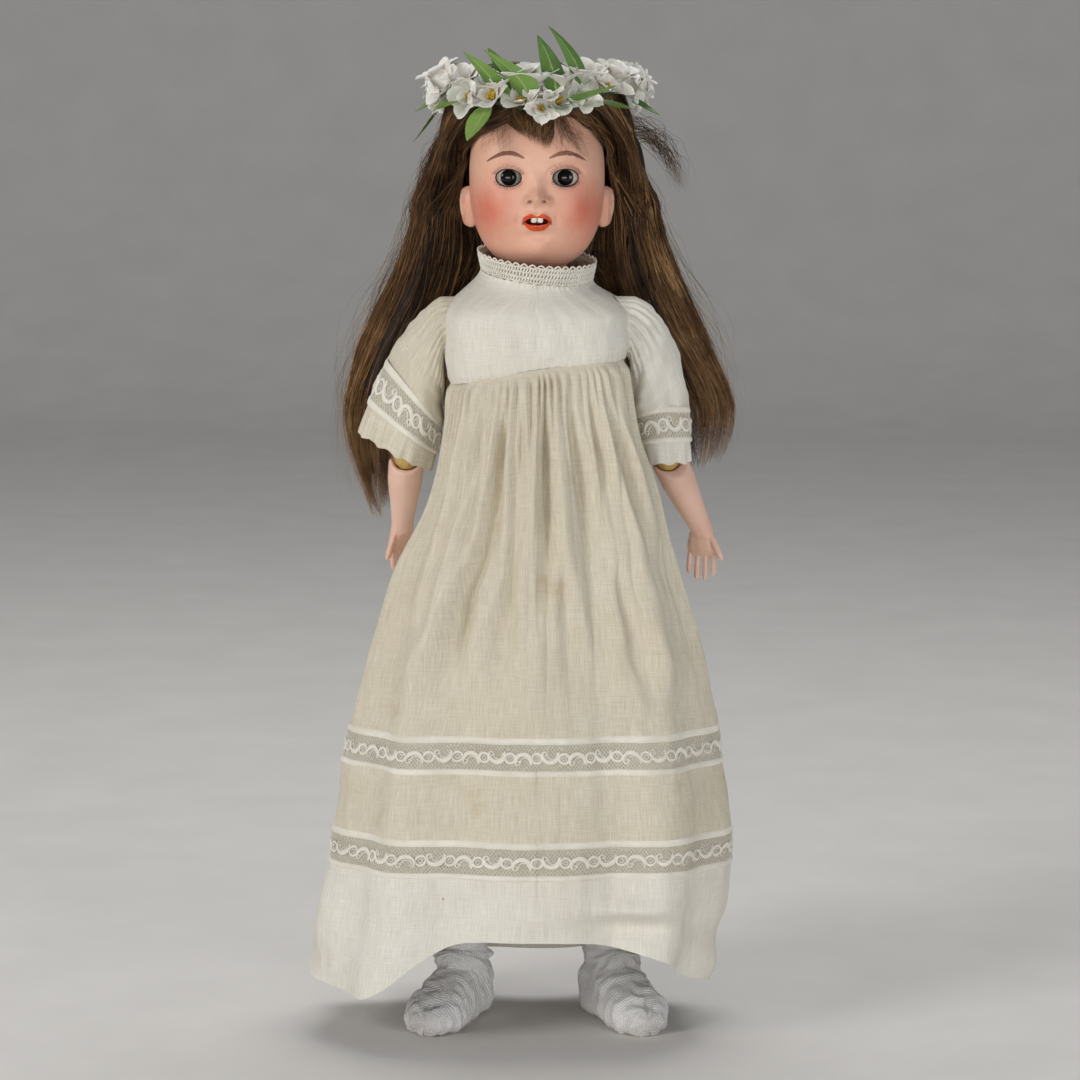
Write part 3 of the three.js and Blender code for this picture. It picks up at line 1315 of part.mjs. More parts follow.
// The sleeve hangs between a line under the arm and one over the shoulder.
function sleevePoint(side, angle, s, inset) {
  const hem = SLEEVE[side];
  const at = (x, drop) => new THREE.Vector3(side * x, 0, SHOULDER_Z - drop);
  const start = BODICE_HALF_WIDTH + SHOULDER_CLEARANCE;
  const under = at(lerp(start, hem.inner.x, s * s * s), lerp(SLEEVE_HEAD_RADIUS, hem.inner.drop, s));
  const over = new THREE.QuadraticBezierCurve3(
    at(start, -SLEEVE_HEAD_RADIUS),
    at(hem.bulge.x, hem.bulge.drop),
    at(hem.outer.x, hem.outer.drop),
  ).getPoint(s);
  const half = over.clone().sub(under).divideScalar(2);
  const loose = s * (SLEEVE_PRESSED + (1 - SLEEVE_PRESSED) * (1 + Math.cos(angle)) / 2);
  const fold = SLEEVE_FOLD_DEPTH * loose * (Math.cos(SLEEVE_FOLDS * (angle - Math.PI)) - 1);
  const depth = lerp(SLEEVE_HEAD_DEPTH, hem.depth, s) + fold - inset;
  const p = under.add(half).addScaledVector(half, (1 + (fold - inset) / half.length()) * Math.cos(angle));
  p.y += s * hem.y + depth * Math.sin(angle);
  return p;
}

// The first ring of the sleeve lies against the bodice.
function sleeveSeat(side, angle, inset) {
  const p = sleevePoint(side, angle, 0, inset);
  const t = THREE.MathUtils.clamp((p.z - WAIST_Z) / (COLLAR_Z - WAIST_Z), 0, 1);
  return p.setX(side * (bodiceHalf(BODICE_HALF_WIDTH, t, SHOULDER_ROUND.side) + 2 * SEAT_GAP));
}

function sleevePiece(side, from, to, rows) {
  const surface = (inset) => steps(rows).map((t) => {
    const s = lerp(from, to, t);
    return angles(SLEEVE_SIDES).map((angle) => {
      return s === 0 ? sleeveSeat(side, angle, inset) : sleevePoint(side, angle, s, inset);
    });
  });
  return wall(surface(0), surface(CLOTH_WALL), true);
}

// The skirt: gathered at the waist, pressed in behind the arms, lifted over the feet.
function skirtPoint(angle, drop, inset) {
  const value = (name) => through(SKIRT_SECTIONS, name, 'drop', drop);
  const p = outlinePoint(angle, value('left'), value('right'), value('front'), value('back'), SKIRT_POWER);
  const fold = value('fold') * (Math.cos(SKIRT_FOLDS * angle + FOLD_DRIFT * Math.sin(2 * angle)) - 1);
  const pressed = THREE.MathUtils.clamp(p.x, -value('behindArm'), value('behindArm'));
  p.x = lerp(p.x, pressed, smoothstep(p.y, ARM_SHADOW.from, ARM_SHADOW.to));
  const radius = p.length();
  p.multiplyScalar((radius + fold - inset) / radius);
  const slant = 1 - smoothstep(drop, 0, UPPER_LACE_DROP);
  return p.setZ(WAIST_Z + slant * (waistZ(bearing(p)) - WAIST_Z) - drop);
}

function hemDrop(angle) {
  const turn = THREE.MathUtils.radToDeg(turnedAngle(angle));
  const away = Math.abs(turn / HEM_FRONT_LIFT.spread) ** HEM_FRONT_LIFT.steepness;
  const front = HEM_FRONT_LIFT.rise * Math.exp(-away);
  const side = HEM_SIDE_LIFT.rise * bell(Math.abs(turn), 90, HEM_SIDE_LIFT.spread);
  return HEM_DROP - front - side;
}

function skirtPiece(from, to, rows) {
  const surface = (inset) => steps(rows).map((t) => {
    return angles(SKIRT_SIDES).map((angle) => skirtPoint(angle, lerp(from(angle), to(angle), t), inset));
  });
  return wall(surface(0), surface(CLOTH_WALL), true);
}

function skirt() {
  const at = (drop) => () => drop;
  const upperEnd = UPPER_LACE_DROP + LACE_HEIGHT;
  const lowerEnd = LOWER_LACE_DROP + LACE_HEIGHT;
  add('skirt_upper_panel', skirtPiece(at(0), at(UPPER_LACE_DROP - SEAT_GAP), 5), LAWN());
  add('lace_upper', skirtPiece(at(UPPER_LACE_DROP), at(upperEnd), 1), LACE());
  add('skirt_middle_panel', skirtPiece(at(upperEnd + SEAT_GAP), at(LOWER_LACE_DROP - SEAT_GAP), 1), LAWN());
  add('lace_lower', skirtPiece(at(LOWER_LACE_DROP), at(lowerEnd), 1), LACE());
  add('skirt_hem_panel', skirtPiece(at(lowerEnd + SEAT_GAP), hemDrop, 3), WHITE_LAWN());
}

// Assembly

add('torso', torso(), COMPOSITION());
for (const side of [LEFT, RIGHT]) {
  const shoulder = new THREE.Vector3(side * SHOULDER_X, 0, SHOULDER_Z);
  add(sideName('shoulder_ball', side), ball(SHOULDER_BALL_RADIUS, shoulder), WOOD());
  add(sideName('upper_arm', side), upperArm(side), COMPOSITION());
  add(sideName('elbow_ball', side), ball(ELBOW_BALL_RADIUS, elbowCentre(side)), WOOD());
  add(sideName('forearm', side), forearm(side), COMPOSITION());
  add(sideName('thigh', side), thigh(side), COMPOSITION());
  add(sideName('knee_ball', side), ball(KNEE_BALL_RADIUS, kneeCentre(side)), WOOD());
  add(sideName('lower_leg', side), lowerLeg(side), COMPOSITION());
  add(sideName('sock', side), sock(side), KNIT());
}

add('neck_plug', neckPlug(), WOOD());
add('neck_hook', neckHook(), STEEL());
add('arm_elastic', armElastic(), ELASTIC());
add('leg_elastic_left', legElastic(LEFT), ELASTIC());
add('leg_elastic_right', legElastic(RIGHT), ELASTIC());

add('bisque_head', bisqueHead(), BISQUE());
add('pate', pate(), CARDBOARD());
add('eye_left', ball(EYE_RADIUS, eyeCentre(LEFT), EYE_SIDES), GLASS());
add('eye_right', ball(EYE_RADIUS, eyeCentre(RIGHT), EYE_SIDES), GLASS());
add('eye_rocker', eyeRocker(), STEEL());
add('eye_weight', eyeWeight(), LEAD());
add('upper_teeth', upperTeeth(), ENAMEL());
add('tongue', tongue(), FELT());

add('wig_crown', wigCrown(), HAIR());
add('fringe', fringe(), HAIR());
add('hair_left', sideLock(LEFT), HAIR());
add('hair_right', sideLock(RIGHT), HAIR());
add('hair_back', backHair(), HAIR());

add('wreath_ring', wreathRing(), GREEN_WIRE());
FLOWER_AZIMUTHS.forEach((azimuth, i) => add(`flower_${i + 1}`, flower(degToRad(azimuth)), PETAL()));
LEAF_PLACES.forEach((place, i) => add(`leaf_${i + 1}`, leaf(place), LEAF()));

add('bodice', bodice(), WHITE_LAWN());
add('collar', collar(), LACE());
for (let i = 0; i < BUTTON.count; i += 1) add(`button_${i + 1}`, backButton(i), PEARL());
for (const side of [LEFT, RIGHT]) {
  add(sideName('sleeve', side), sleevePiece(side, 0, CUFF_START, 4), LAWN());
  add(sideName('cuff', side), sleevePiece(side, CUFF_START + 0.005, 1, 2), LACE());
}
skirt();

export default doll;
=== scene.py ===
import json
import math

import bmesh
import bpy
import numpy as np
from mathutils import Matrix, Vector
from mathutils.bvhtree import BVHTree

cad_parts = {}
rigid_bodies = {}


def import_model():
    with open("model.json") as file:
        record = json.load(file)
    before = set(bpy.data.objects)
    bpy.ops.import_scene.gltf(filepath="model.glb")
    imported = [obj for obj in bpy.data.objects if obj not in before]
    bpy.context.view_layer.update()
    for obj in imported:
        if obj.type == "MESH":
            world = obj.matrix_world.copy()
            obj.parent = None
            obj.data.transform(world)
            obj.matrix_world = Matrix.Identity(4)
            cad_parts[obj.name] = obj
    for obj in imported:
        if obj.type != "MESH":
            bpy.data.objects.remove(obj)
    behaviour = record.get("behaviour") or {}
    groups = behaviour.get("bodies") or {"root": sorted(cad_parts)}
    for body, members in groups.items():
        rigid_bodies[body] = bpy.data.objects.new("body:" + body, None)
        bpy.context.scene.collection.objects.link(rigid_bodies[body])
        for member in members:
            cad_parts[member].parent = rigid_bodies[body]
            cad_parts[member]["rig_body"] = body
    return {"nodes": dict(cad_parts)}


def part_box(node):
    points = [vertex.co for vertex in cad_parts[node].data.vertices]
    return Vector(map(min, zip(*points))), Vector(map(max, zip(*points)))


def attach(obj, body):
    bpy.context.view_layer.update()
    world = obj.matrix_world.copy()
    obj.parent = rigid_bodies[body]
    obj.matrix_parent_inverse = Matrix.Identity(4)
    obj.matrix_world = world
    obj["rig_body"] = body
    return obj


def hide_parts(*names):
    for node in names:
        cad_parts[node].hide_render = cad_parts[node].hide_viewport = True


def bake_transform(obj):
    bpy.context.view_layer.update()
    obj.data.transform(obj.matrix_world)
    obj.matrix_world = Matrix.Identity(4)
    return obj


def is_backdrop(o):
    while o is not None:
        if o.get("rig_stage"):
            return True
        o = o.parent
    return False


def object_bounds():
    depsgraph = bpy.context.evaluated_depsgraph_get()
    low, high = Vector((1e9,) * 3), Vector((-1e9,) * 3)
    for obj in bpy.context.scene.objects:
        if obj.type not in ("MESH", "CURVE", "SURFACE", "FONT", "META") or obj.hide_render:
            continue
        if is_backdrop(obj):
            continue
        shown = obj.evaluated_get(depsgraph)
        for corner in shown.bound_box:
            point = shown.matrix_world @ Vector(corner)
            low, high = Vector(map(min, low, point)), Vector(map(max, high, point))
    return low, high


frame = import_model()
CAD_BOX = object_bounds()
NODES = frame["nodes"]

# Sizes are in millimetres from the middle of the doll, and go to metres in the shared frame.
MIDDLE = np.array([11.0, 7.0, 0.0])
HEAD = np.array([0.0, 0.0, 521.327])
SHOULDER_Z = 430.327
WAIST_Z = 402.327
COLLAR_Z = 461.827
LEFT, RIGHT = 1, -1
SIDE_NAMES = {LEFT: "left", RIGHT: "right"}
MM = 1000  # in a metre
TAU = math.tau


def world(points):
    """Places in the shared frame, in metres."""
    return (np.asarray(points, float) + MIDDLE) / MM


def smoothstep(x, low, high):
    t = np.clip((np.asarray(x, float) - low) / (high - low), 0, 1)
    return t * t * (3 - 2 * t)


def lerp(a, b, t):
    return a + (b - a) * t


def bell(value, middle, spread):
    return np.exp(-(((value - middle) / spread) ** 2))


def unit(v):
    return v / (np.linalg.norm(v, axis=-1, keepdims=True) + 1e-9)


def through(table, column, at):
    """Values on a smooth curve through a table whose first column is the place."""
    place, value = table[:, 0], table[:, column]
    at = np.clip(at, place[0], place[-1])
    k = np.clip(np.searchsorted(place, at, side="right") - 1, 0, len(place) - 2)
    before, after = np.maximum(k - 1, 0), np.minimum(k + 2, len(place) - 1)
    span = place[k + 1] - place[k]
    t = (at - place[k]) / span
    m0 = (value[k + 1] - value[before]) / (place[k + 1] - place[before]) * span
    m1 = (value[after] - value[k]) / (place[after] - place[k]) * span
    t2, t3 = t * t, t * t * t
    return ((2 * t3 - 3 * t2 + 1) * value[k] + (t3 - 2 * t2 + t) * m0
            + (3 * t2 - 2 * t3) * value[k + 1] + (t3 - t2) * m1)


def lengths(points):
    """Length along a line up to each of its points."""
    steps = np.linalg.norm(np.diff(points, axis=0), axis=1)
    return np.concatenate([[0], np.cumsum(steps)])


def waves(seed, a, b, count, wave_a, wave_b):
    """A soft seeded unevenness over two lengths, from about -1 to 1."""
    rng = np.random.default_rng(seed)
    total = 0
    for _ in range(count):
        ka, kb = rng.normal(0, TAU / wave_a), rng.normal(0, TAU / wave_b)
        total = total + np.cos(ka * a + kb * b + rng.uniform(0, TAU))
    return total / math.sqrt(count)


# Meshes

UV_SCALE = 100.0  # mm of cloth to one unit


def circle(count):
    """Even angles round a full turn."""
    return np.linspace(0, TAU, count + 1)[:-1]


def pairs(a, b):
    """Every a with every b, as two grids."""
    return np.meshgrid(a, b, indexing="ij")


def both(a, b):
    """Two values or arrays at one shape."""
    return np.broadcast_arrays(np.asarray(a, float), np.asarray(b, float))


def grid_faces(rows, columns, wrap=False):
    """Four-sided faces of a grid of points; wrap closes its rows into rings."""
    r, c = pairs(np.arange(rows - 1), np.arange(columns if wrap else columns - 1))
    here, right = r * columns + c, r * columns + (c + 1) % columns
    return np.stack([here, right, right + columns, here + columns], -1).reshape(-1, 4)


def tubes(paths, radii, sides=3, up=(0.25, -0.9, 0.35), flat=1.0):
    """Thin tubes along many paths, as points and faces. flat below 1 presses them against up."""
    paths = np.asarray(paths, float)
    count, steps, _ = paths.shape
    radii = np.broadcast_to(np.asarray(radii, float), (count, steps))
    tangent = unit(np.gradient(paths, axis=1))
    side = unit(np.cross(tangent, np.broadcast_to(up, paths.shape)))
    lift = np.cross(side, tangent)
    angle = TAU * np.arange(sides) / sides
    across, rise = np.cos(angle)[:, None], np.sin(angle)[:, None]
    ring = side[:, :, None] * across + flat * lift[:, :, None] * rise
    points = paths[:, :, None] + ring * radii[:, :, None, None]
    one = grid_faces(steps, sides, True)
    faces = (one[None] + (np.arange(count) * steps * sides)[:, None, None]).reshape(-1, 4)
    return points.reshape(-1, 3), faces


def joined(*meshes):
    points, faces, start = [], [], 0
    for p, f in meshes:
        p = np.asarray(p, float).reshape(-1, 3)
        points.append(p)
        faces.append(np.asarray(f) + start)
        start += len(p)
    return np.concatenate(points), np.concatenate(faces)


def piece(name, points, faces, material, uv=None, turn=None, **values):
    """A new object with per-point values as attributes; turn is a closed ring's length in uv."""
    mesh = bpy.data.meshes.new(name)
    points = np.asarray(points, float).reshape(-1, 3)
    mesh.from_pydata(world(points).tolist(), [], np.asarray(faces).tolist())
    mesh.polygons.foreach_set("use_smooth", [True] * len(mesh.polygons))
    for key, value in values.items():
        attribute = mesh.attributes.new(key, "FLOAT", "POINT")
        attribute.data.foreach_set("value", np.asarray(value, np.float32).ravel())
    if uv is not None:
        layer = mesh.uv_layers.new(name="cloth")
        index = np.zeros(len(mesh.loops), int)
        mesh.loops.foreach_get("vertex_index", index)
        corners = np.asarray(uv, np.float32).reshape(-1, 2)[index]
        if turn is not None:
            u = corners[:, 0].reshape(-1, 4)
            corners[:, 0] = np.where(u < u.max(1, keepdims=True) - turn / 2, u + turn, u).ravel()
        layer.data.foreach_set("uv", corners.ravel())
    mesh.materials.append(material)
    mesh.validate()
    obj = bpy.data.objects.new(name, mesh)
    bpy.context.scene.collection.objects.link(obj)
    return obj


def fitted(obj, body, slot, *nodes):
    """The object on its body, in place of the nodes that it stands for; slot is not used."""
    for node in nodes:
        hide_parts(node)
    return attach(obj, body)


def apply_modifiers(obj):
    bpy.context.view_layer.update()
    graph = bpy.context.evaluated_depsgraph_get()
    mesh = bpy.data.meshes.new_from_object(obj.evaluated_get(graph))
    obj.modifiers.clear()
    obj.data = mesh
    mesh.polygons.foreach_set("use_smooth", [True] * len(mesh.polygons))


def relaxed(obj, passes, group=""):
    """Rounds the object off, or only the points of a group."""
    relax = obj.modifiers.new("relax", "SMOOTH")
    relax.factor, relax.iterations, relax.vertex_group = 0.5, passes, group
    apply_modifiers(obj)


def smooth_copy(node, voxel, passes, material, slot, above=None):
    """A finer copy of a moulded or turned node; rounder still above a height."""
    obj = bpy.data.objects.new(node + "_fine", NODES[node].data.copy())
    bpy.context.scene.collection.objects.link(obj)
    remesh = obj.modifiers.new("remesh", "REMESH")
    remesh.mode, remesh.voxel_size = "VOXEL", voxel / MM
    relaxed(obj, passes)
    if above is not None:
        group = obj.vertex_groups.new(name="plain")
        for vertex in obj.data.vertices:
            share = smoothstep(vertex.co.z * MM, above - 4, above + 8)
            group.add([vertex.index], share, "REPLACE")
        relaxed(obj, PLAIN_PASSES, group.name)
        obj.vertex_groups.clear()
    obj.data.materials.clear()
    obj.data.materials.append(material)
    fitted(obj, NODES[node]["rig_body"], slot, node)


def ring_cloth(name, points, material, q, v, around, faces=None):
    """Cloth that closes in rings, with coordinates from the lengths around and along it."""
    if faces is None:
        faces = grid_faces(*points.shape[:2], True)
    q, v = both(q, v)
    uv = np.stack([(q + around / 2) % around, v], -1) / UV_SCALE
    return piece(name, points, faces, material, uv=uv, turn=around / UV_SCALE)


def mesh_area(obj):
    return sum(polygon.area for polygon in obj.data.polygons)


def cloth(obj, length):
    """Works out a sheet's area and does nothing with it; length is not used."""
    area = mesh_area(obj)


# Materials

def srgb(colour):
    """A shader colour from red, green and blue levels up to 255."""
    def linear(c):
        c /= 255
        return c / 12.92 if c <= 0.04045 else ((c + 0.055) / 1.055) ** 2.4
    return (*map(linear, colour), 1.0)


class Finish:
    """A procedural material put together node by node, with colours as levels up to 255."""

    def __init__(self, name, roughness=0.6, **sockets):
        self.material = bpy.data.materials.new(name)
        self.material.use_nodes = True
        self.nodes = self.material.node_tree.nodes
        self.links = self.material.node_tree.links
        self.shader = self.nodes["Principled BSDF"]
        self.shader.inputs["Roughness"].default_value = roughness
        for key, value in sockets.items():
            self.shader.inputs[key.replace("_", " ")].default_value = value

    def put(self, socket, value):
        if isinstance(value, bpy.types.NodeSocket):
            self.links.new(value, socket)
        else:
            socket.default_value = value

    def place(self, stretch=(1, 1, 1), kind="Object"):
        source = self.nodes.new("ShaderNodeTexCoord").outputs[kind]
        scale = self.nodes.new("ShaderNodeVectorMath")
        scale.operation = "MULTIPLY"
        self.links.new(source, scale.inputs[0])
        scale.inputs[1].default_value = stretch
        return scale.outputs[0]

    def noise(self, scale, detail=3.0, stretch=(1, 1, 1), kind="Object", rough=0.55, twist=0.0):
        node = self.nodes.new("ShaderNodeTexNoise")
        self.links.new(self.place(stretch, kind), node.inputs["Vector"])
        for key, value in (("Scale", scale), ("Detail", detail), ("Roughness", rough),
                           ("Distortion", twist)):
            node.inputs[key].default_value = value
        return node.outputs["Fac"]

    def cells(self, scale, stretch=(1, 1, 1), kind="Object", feature="DISTANCE_TO_EDGE"):
        node = self.nodes.new("ShaderNodeTexVoronoi")
        node.feature = feature
        self.links.new(self.place(stretch, kind), node.inputs["Vector"])
        node.inputs["Scale"].default_value = scale
        return node.outputs["Distance"]

    def bands(self, scale, direction, twist=0.0, kind="UV"):
        node = self.nodes.new("ShaderNodeTexWave")
        node.bands_direction = direction
        self.links.new(self.place(kind=kind), node.inputs["Vector"])
        node.inputs["Scale"].default_value = scale
        node.inputs["Distortion"].default_value = twist
        return node.outputs["Fac"]

    def value(self, name):
        node = self.nodes.new("ShaderNodeAttribute")
        node.attribute_name = name
        return node.outputs["Fac"]

    def math(self, operation, a, b):
        node = self.nodes.new("ShaderNodeMath")
        node.operation = operation
        self.put(node.inputs[0], a)
        self.put(node.inputs[1], b)
        return node.outputs[0]

    def add(self, a, b):
        return self.math("ADD", a, b)

    def times(self, a, b):
        return self.math("MULTIPLY", a, b)

    def span(self, value, low, high, to_low=0.0, to_high=1.0):
        node = self.nodes.new("ShaderNodeMapRange")
        self.put(node.inputs[0], value)
        for i, number in enumerate((low, high, to_low, to_high), 1):
            node.inputs[i].default_value = number
        return node.outputs[0]

    def ramp(self, value, *stops):
        node = self.nodes.new("ShaderNodeValToRGB")
        self.links.new(value, node.inputs["Fac"])
        points = node.color_ramp.elements
        while len(points) < len(stops):
            points.new(0.5)
        for point, (place, colour) in zip(points, stops):
            point.position = place
            point.color = srgb(colour)
        return node.outputs["Color"]

    def mix(self, share, a, b):
        node = self.nodes.new("ShaderNodeMix")
        node.data_type = "RGBA"
        self.put(node.inputs[0], share)
        for socket, colour in ((node.inputs[6], a), (node.inputs[7], b)):
            self.put(socket, srgb(colour) if isinstance(colour, tuple) else colour)
        return node.outputs[2]

    def done(self, colour, roughness=None, height=None, distance=0.0003, strength=0.5):
        self.links.new(colour, self.shader.inputs["Base Color"])
        if roughness is not None:
            self.links.new(roughness, self.shader.inputs["Roughness"])
        if height is not None:
            bump = self.nodes.new("ShaderNodeBump")
            bump.inputs["Strength"].default_value = strength
            bump.inputs["Distance"].default_value = distance
            self.links.new(height, bump.inputs["Height"])
            self.links.new(bump.outputs["Normal"], self.shader.inputs["Normal"])
        return self.material


def bisque_finish():
    f = Finish("bisque", 0.5, Subsurface_Weight=0.08, Subsurface_Scale=0.004)
    f.shader.inputs["Subsurface Radius"].default_value = (1.0, 0.4, 0.25)
    mottle = f.noise(90, 4)
    skin = f.ramp(mottle, (0.3, (226, 178, 152)), (0.7, (232, 188, 164)))
    uneven = f.span(f.noise(160, 5), 0.3, 0.7, -0.06, 0.06)
    blush = f.span(f.add(f.value("blush"), uneven), 0.0, 1.0)
    skin = f.mix(blush, skin, (212, 112, 86))
    lips = f.ramp(f.noise(400, 3), (0.35, (206, 66, 26)), (0.65, (222, 86, 38)))
    skin = f.mix(f.value("lips"), skin, lips)
    # Dark red paint at the nostrils and mouth corners; deeper in the mouth the same dark red is
    # painted shade.
    skin = f.mix(f.value("dark"), skin, (96, 22, 16))
    speck = f.span(f.cells(330, feature="F1"), 0.05, 0.09)
    skin = f.mix(speck, (190, 134, 110), skin)
    gloss = f.span(f.value("lips"), 0, 1, 0.5, 0.22)
    return f.done(skin, gloss, f.noise(900, 4), 0.0002, 0.12)


def composition_finish():
    f = Finish("composition", 0.42)
    patch = f.noise(40, 5)
    paint = f.ramp(patch, (0.3, (238, 202, 184)), (0.55, (232, 190, 170)), (0.75, (222, 176, 154)))
    crack = f.cells(46, stretch=(1, 1, 0.35))
    patchy = f.span(f.noise(70, 3), 0.3, 0.6, 0.0, 0.05)
    line = f.span(f.add(crack, patchy), 0.003, 0.012, 0.35, 1.0)
    paint = f.mix(line, (150, 100, 78), paint)
    rub = f.span(f.noise(24, 6, rough=0.7), 0.62, 0.72)
    paint = f.mix(rub, paint, (226, 196, 164))
    return f.done(paint, f.span(patch, 0.2, 0.8, 0.34, 0.55), line, 0.0002, 0.4)


def wood_finish(name, light, dark):
    f = Finish(name, 0.55)
    grain = f.noise(260, 5, stretch=(1, 1, 0.12), twist=0.6)
    colour = f.ramp(grain, (0.3, dark), (0.7, light))
    worn = f.span(f.noise(60, 4), 0.55, 0.75)
    colour = f.mix(worn, colour, (150, 118, 66))
    return f.done(colour, f.span(grain, 0, 1, 0.45, 0.65), grain, 0.0002, 0.3)


def plain_finish(name, light, dark, roughness, scale=200, metallic=0.0, bump=0.25):
    f = Finish(name, roughness, Metallic=metallic)
    spread = f.noise(scale, 5)
    colour = f.ramp(spread, (0.3, dark), (0.7, light))
    gloss = f.span(spread, 0.2, 0.8, roughness * 0.85, min(1, roughness * 1.15))
    return f.done(colour, gloss, spread, 0.0002, bump)


def lawn_finish(name, light, dark, stain, stained, weave=0.5):
    """Old cotton lawn: slubs along both threads, fine weave, faint stains and specks."""
    f = Finish(name, 0.88, Sheen_Weight=0.15, Sheen_Roughness=0.6)
    f.shader.inputs["Sheen Tint"].default_value = (1.0, 0.98, 0.94, 1.0)
    warp = f.noise(150, 4, stretch=(1, 0.05, 1), kind="UV")
    weft = f.noise(150, 4, stretch=(0.05, 1, 1), kind="UV")
    slub = f.add(f.times(warp, 0.62), f.times(weft, 0.38))
    colour = f.ramp(slub, (0.36, dark), (0.62, light))
    broad = f.span(f.noise(1.1, 4, kind="UV"), 0.4, 0.8, 0.0, 0.35)
    colour = f.mix(broad, colour, f.mix(0.5, dark, stain))
    blotch = f.span(f.noise(2.6, 5, kind="UV", rough=0.65), 0.60, 0.74, 0.0, stained)
    colour = f.mix(blotch, colour, stain)
    speck = f.span(f.cells(3.2, kind="UV", feature="F1"), 0.012, 0.03, 0.75, 0.0)
    colour = f.mix(speck, colour, (150, 108, 62))
    threads = f.add(f.bands(62, "X", 1.2), f.bands(62, "Y", 1.2))
    height = f.add(f.times(threads, 0.4), f.times(slub, 1.4))
    return f.done(colour, None, height, 0.00022, weave)


def thread_finish(name, light, dark):
    f = Finish(name, 0.9, Sheen_Weight=0.2)
    ply = f.noise(1500, 2, stretch=(1, 1, 0.5))
    tone = f.noise(45, 3)
    colour = f.mix(f.span(tone, 0.3, 0.7), dark, light)
    colour = f.mix(f.span(ply, 0.35, 0.65, 0.0, 0.3), colour, dark)
    return f.done(colour, None, ply, 0.0002, 0.5)


def net_finish():
    """The ground of the lace: a fine net whose holes are painted darker, as the shade seen through
    it.
    """
    f = Finish("lace_ground", 0.95)
    hole = f.span(f.cells(85, kind="UV"), 0.02, 0.13)
    shade = f.ramp(f.noise(3, 4, kind="UV"), (0.3, (168, 159, 140)), (0.7, (190, 182, 164)))
    colour = f.mix(hole, (214, 207, 190), shade)
    return f.done(colour, None, hole, 0.0003, 0.5)


def knit_finish():
    f = Finish("knit", 0.95, Sheen_Weight=0.25)
    rib = f.bands(72 * math.pi / 100, "X")
    course = f.bands(2.1, "Y", 0.4)
    loop = f.times(rib, course)
    tone = f.noise(60, 4)
    # The knit's grooves between its loops are painted darker, as painted shade.
    colour = f.ramp(loop, (0.02, (216, 213, 211)), (0.3, (250, 249, 248)))
    colour = f.mix(f.span(tone, 0.4, 0.8, 0.0, 0.3), colour, (214, 208, 203))
    # Browner towards the toe and within 8 mm of the floor.
    colour = f.mix(f.value("soil"), colour, (170, 140, 112))
    return f.done(colour, None, loop, 0.0006, 0.8)


def hair_finish():
    f = Finish("hair", 0.48, Specular_IOR_Level=0.28)
    tone = f.add(f.value("tone"), f.span(f.noise(55, 3), 0.3, 0.7, -0.12, 0.12))
    colour = f.ramp(tone, (0.0, (24, 14, 8)), (0.3, (62, 42, 25)), (0.6, (120, 87, 55)),
                    (1.0, (182, 142, 97)))
    streak = f.noise(900, 2, stretch=(1, 1, 0.04))
    return f.done(colour, f.span(streak, 0.3, 0.7, 0.34, 0.5), streak, 0.0002, 0.4)


def petal_finish():
    f = Finish("petal", 0.6, Subsurface_Weight=0.1, Subsurface_Scale=0.002, Sheen_Weight=0.1)
    base = f.ramp(f.value("along"), (0.0, (196, 204, 160)), (0.3, (224, 220, 210)),
                  (1.0, (236, 233, 226)))
    vein = f.noise(420, 3, stretch=(1, 1, 0.3))
    colour = f.mix(f.span(vein, 0.35, 0.7, 0.0, 0.3), base, (192, 187, 180))
    colour = f.mix(f.value("rim"), colour, (250, 248, 242))
    return f.done(colour, None, vein, 0.0003, 0.35)


def leaf_finish():
    f = Finish("leaf", 0.5)
    tone = f.add(f.times(f.value("tone"), 0.7), f.times(f.noise(70, 4), 0.4))
    colour = f.ramp(tone, (0.2, (52, 82, 34)), (0.55, (92, 132, 56)), (0.9, (138, 170, 84)))
    vein = f.value("vein")
    colour = f.mix(f.span(vein, 0.4, 1.0, 0.0, 0.7), colour, (168, 186, 116))
    return f.done(colour, f.span(f.noise(300, 3), 0.3, 0.7, 0.42, 0.6), vein, 0.0004, 0.5)


def eye_finish():
    """Blown glass: black pupil, dark brown iris, grey-green white, and a painted lid."""
    f = Finish("eye_glass", 0.05, Specular_IOR_Level=0.35)
    side = f.value("aside")
    white = f.ramp(f.noise(600, 3), (0.4, (228, 230, 222)), (0.75, (200, 204, 194)))
    iris = f.ramp(side, (0.0, (4, 2, 2)), (0.62, (7, 4, 3)), (0.72, (24, 12, 8)),
                  (0.9, (30, 16, 11)))
    colour = f.mix(f.span(side, 0.9, 0.97), iris, white)
    colour = f.mix(f.value("lid"), colour, (222, 172, 146))
    colour = f.mix(f.value("lash"), colour, (40, 24, 18))
    gloss = f.span(f.value("lid"), 0, 1, 0.05, 0.5)
    return f.done(colour, gloss)


BISQUE = bisque_finish()
COMPOSITION = composition_finish()
WOOD = wood_finish("turned_wood", (216, 184, 112), (184, 146, 78))
CREAM = lawn_finish("lawn", (224, 216, 197), (198, 189, 168), (182, 154, 112), 0.45)
WHITE = lawn_finish("white_lawn", (234, 230, 220), (214, 209, 196), (190, 168, 132), 0.25, 0.4)
LACE_THREAD = thread_finish("lace_thread", (238, 234, 222), (218, 212, 197))
LACE_GROUND = net_finish()
COTTON = thread_finish("crochet_cotton", (238, 234, 224), (214, 208, 194))
KNIT = knit_finish()
HAIR = hair_finish()
PETAL = petal_finish()
LEAF = leaf_finish()
EYE = eye_finish()
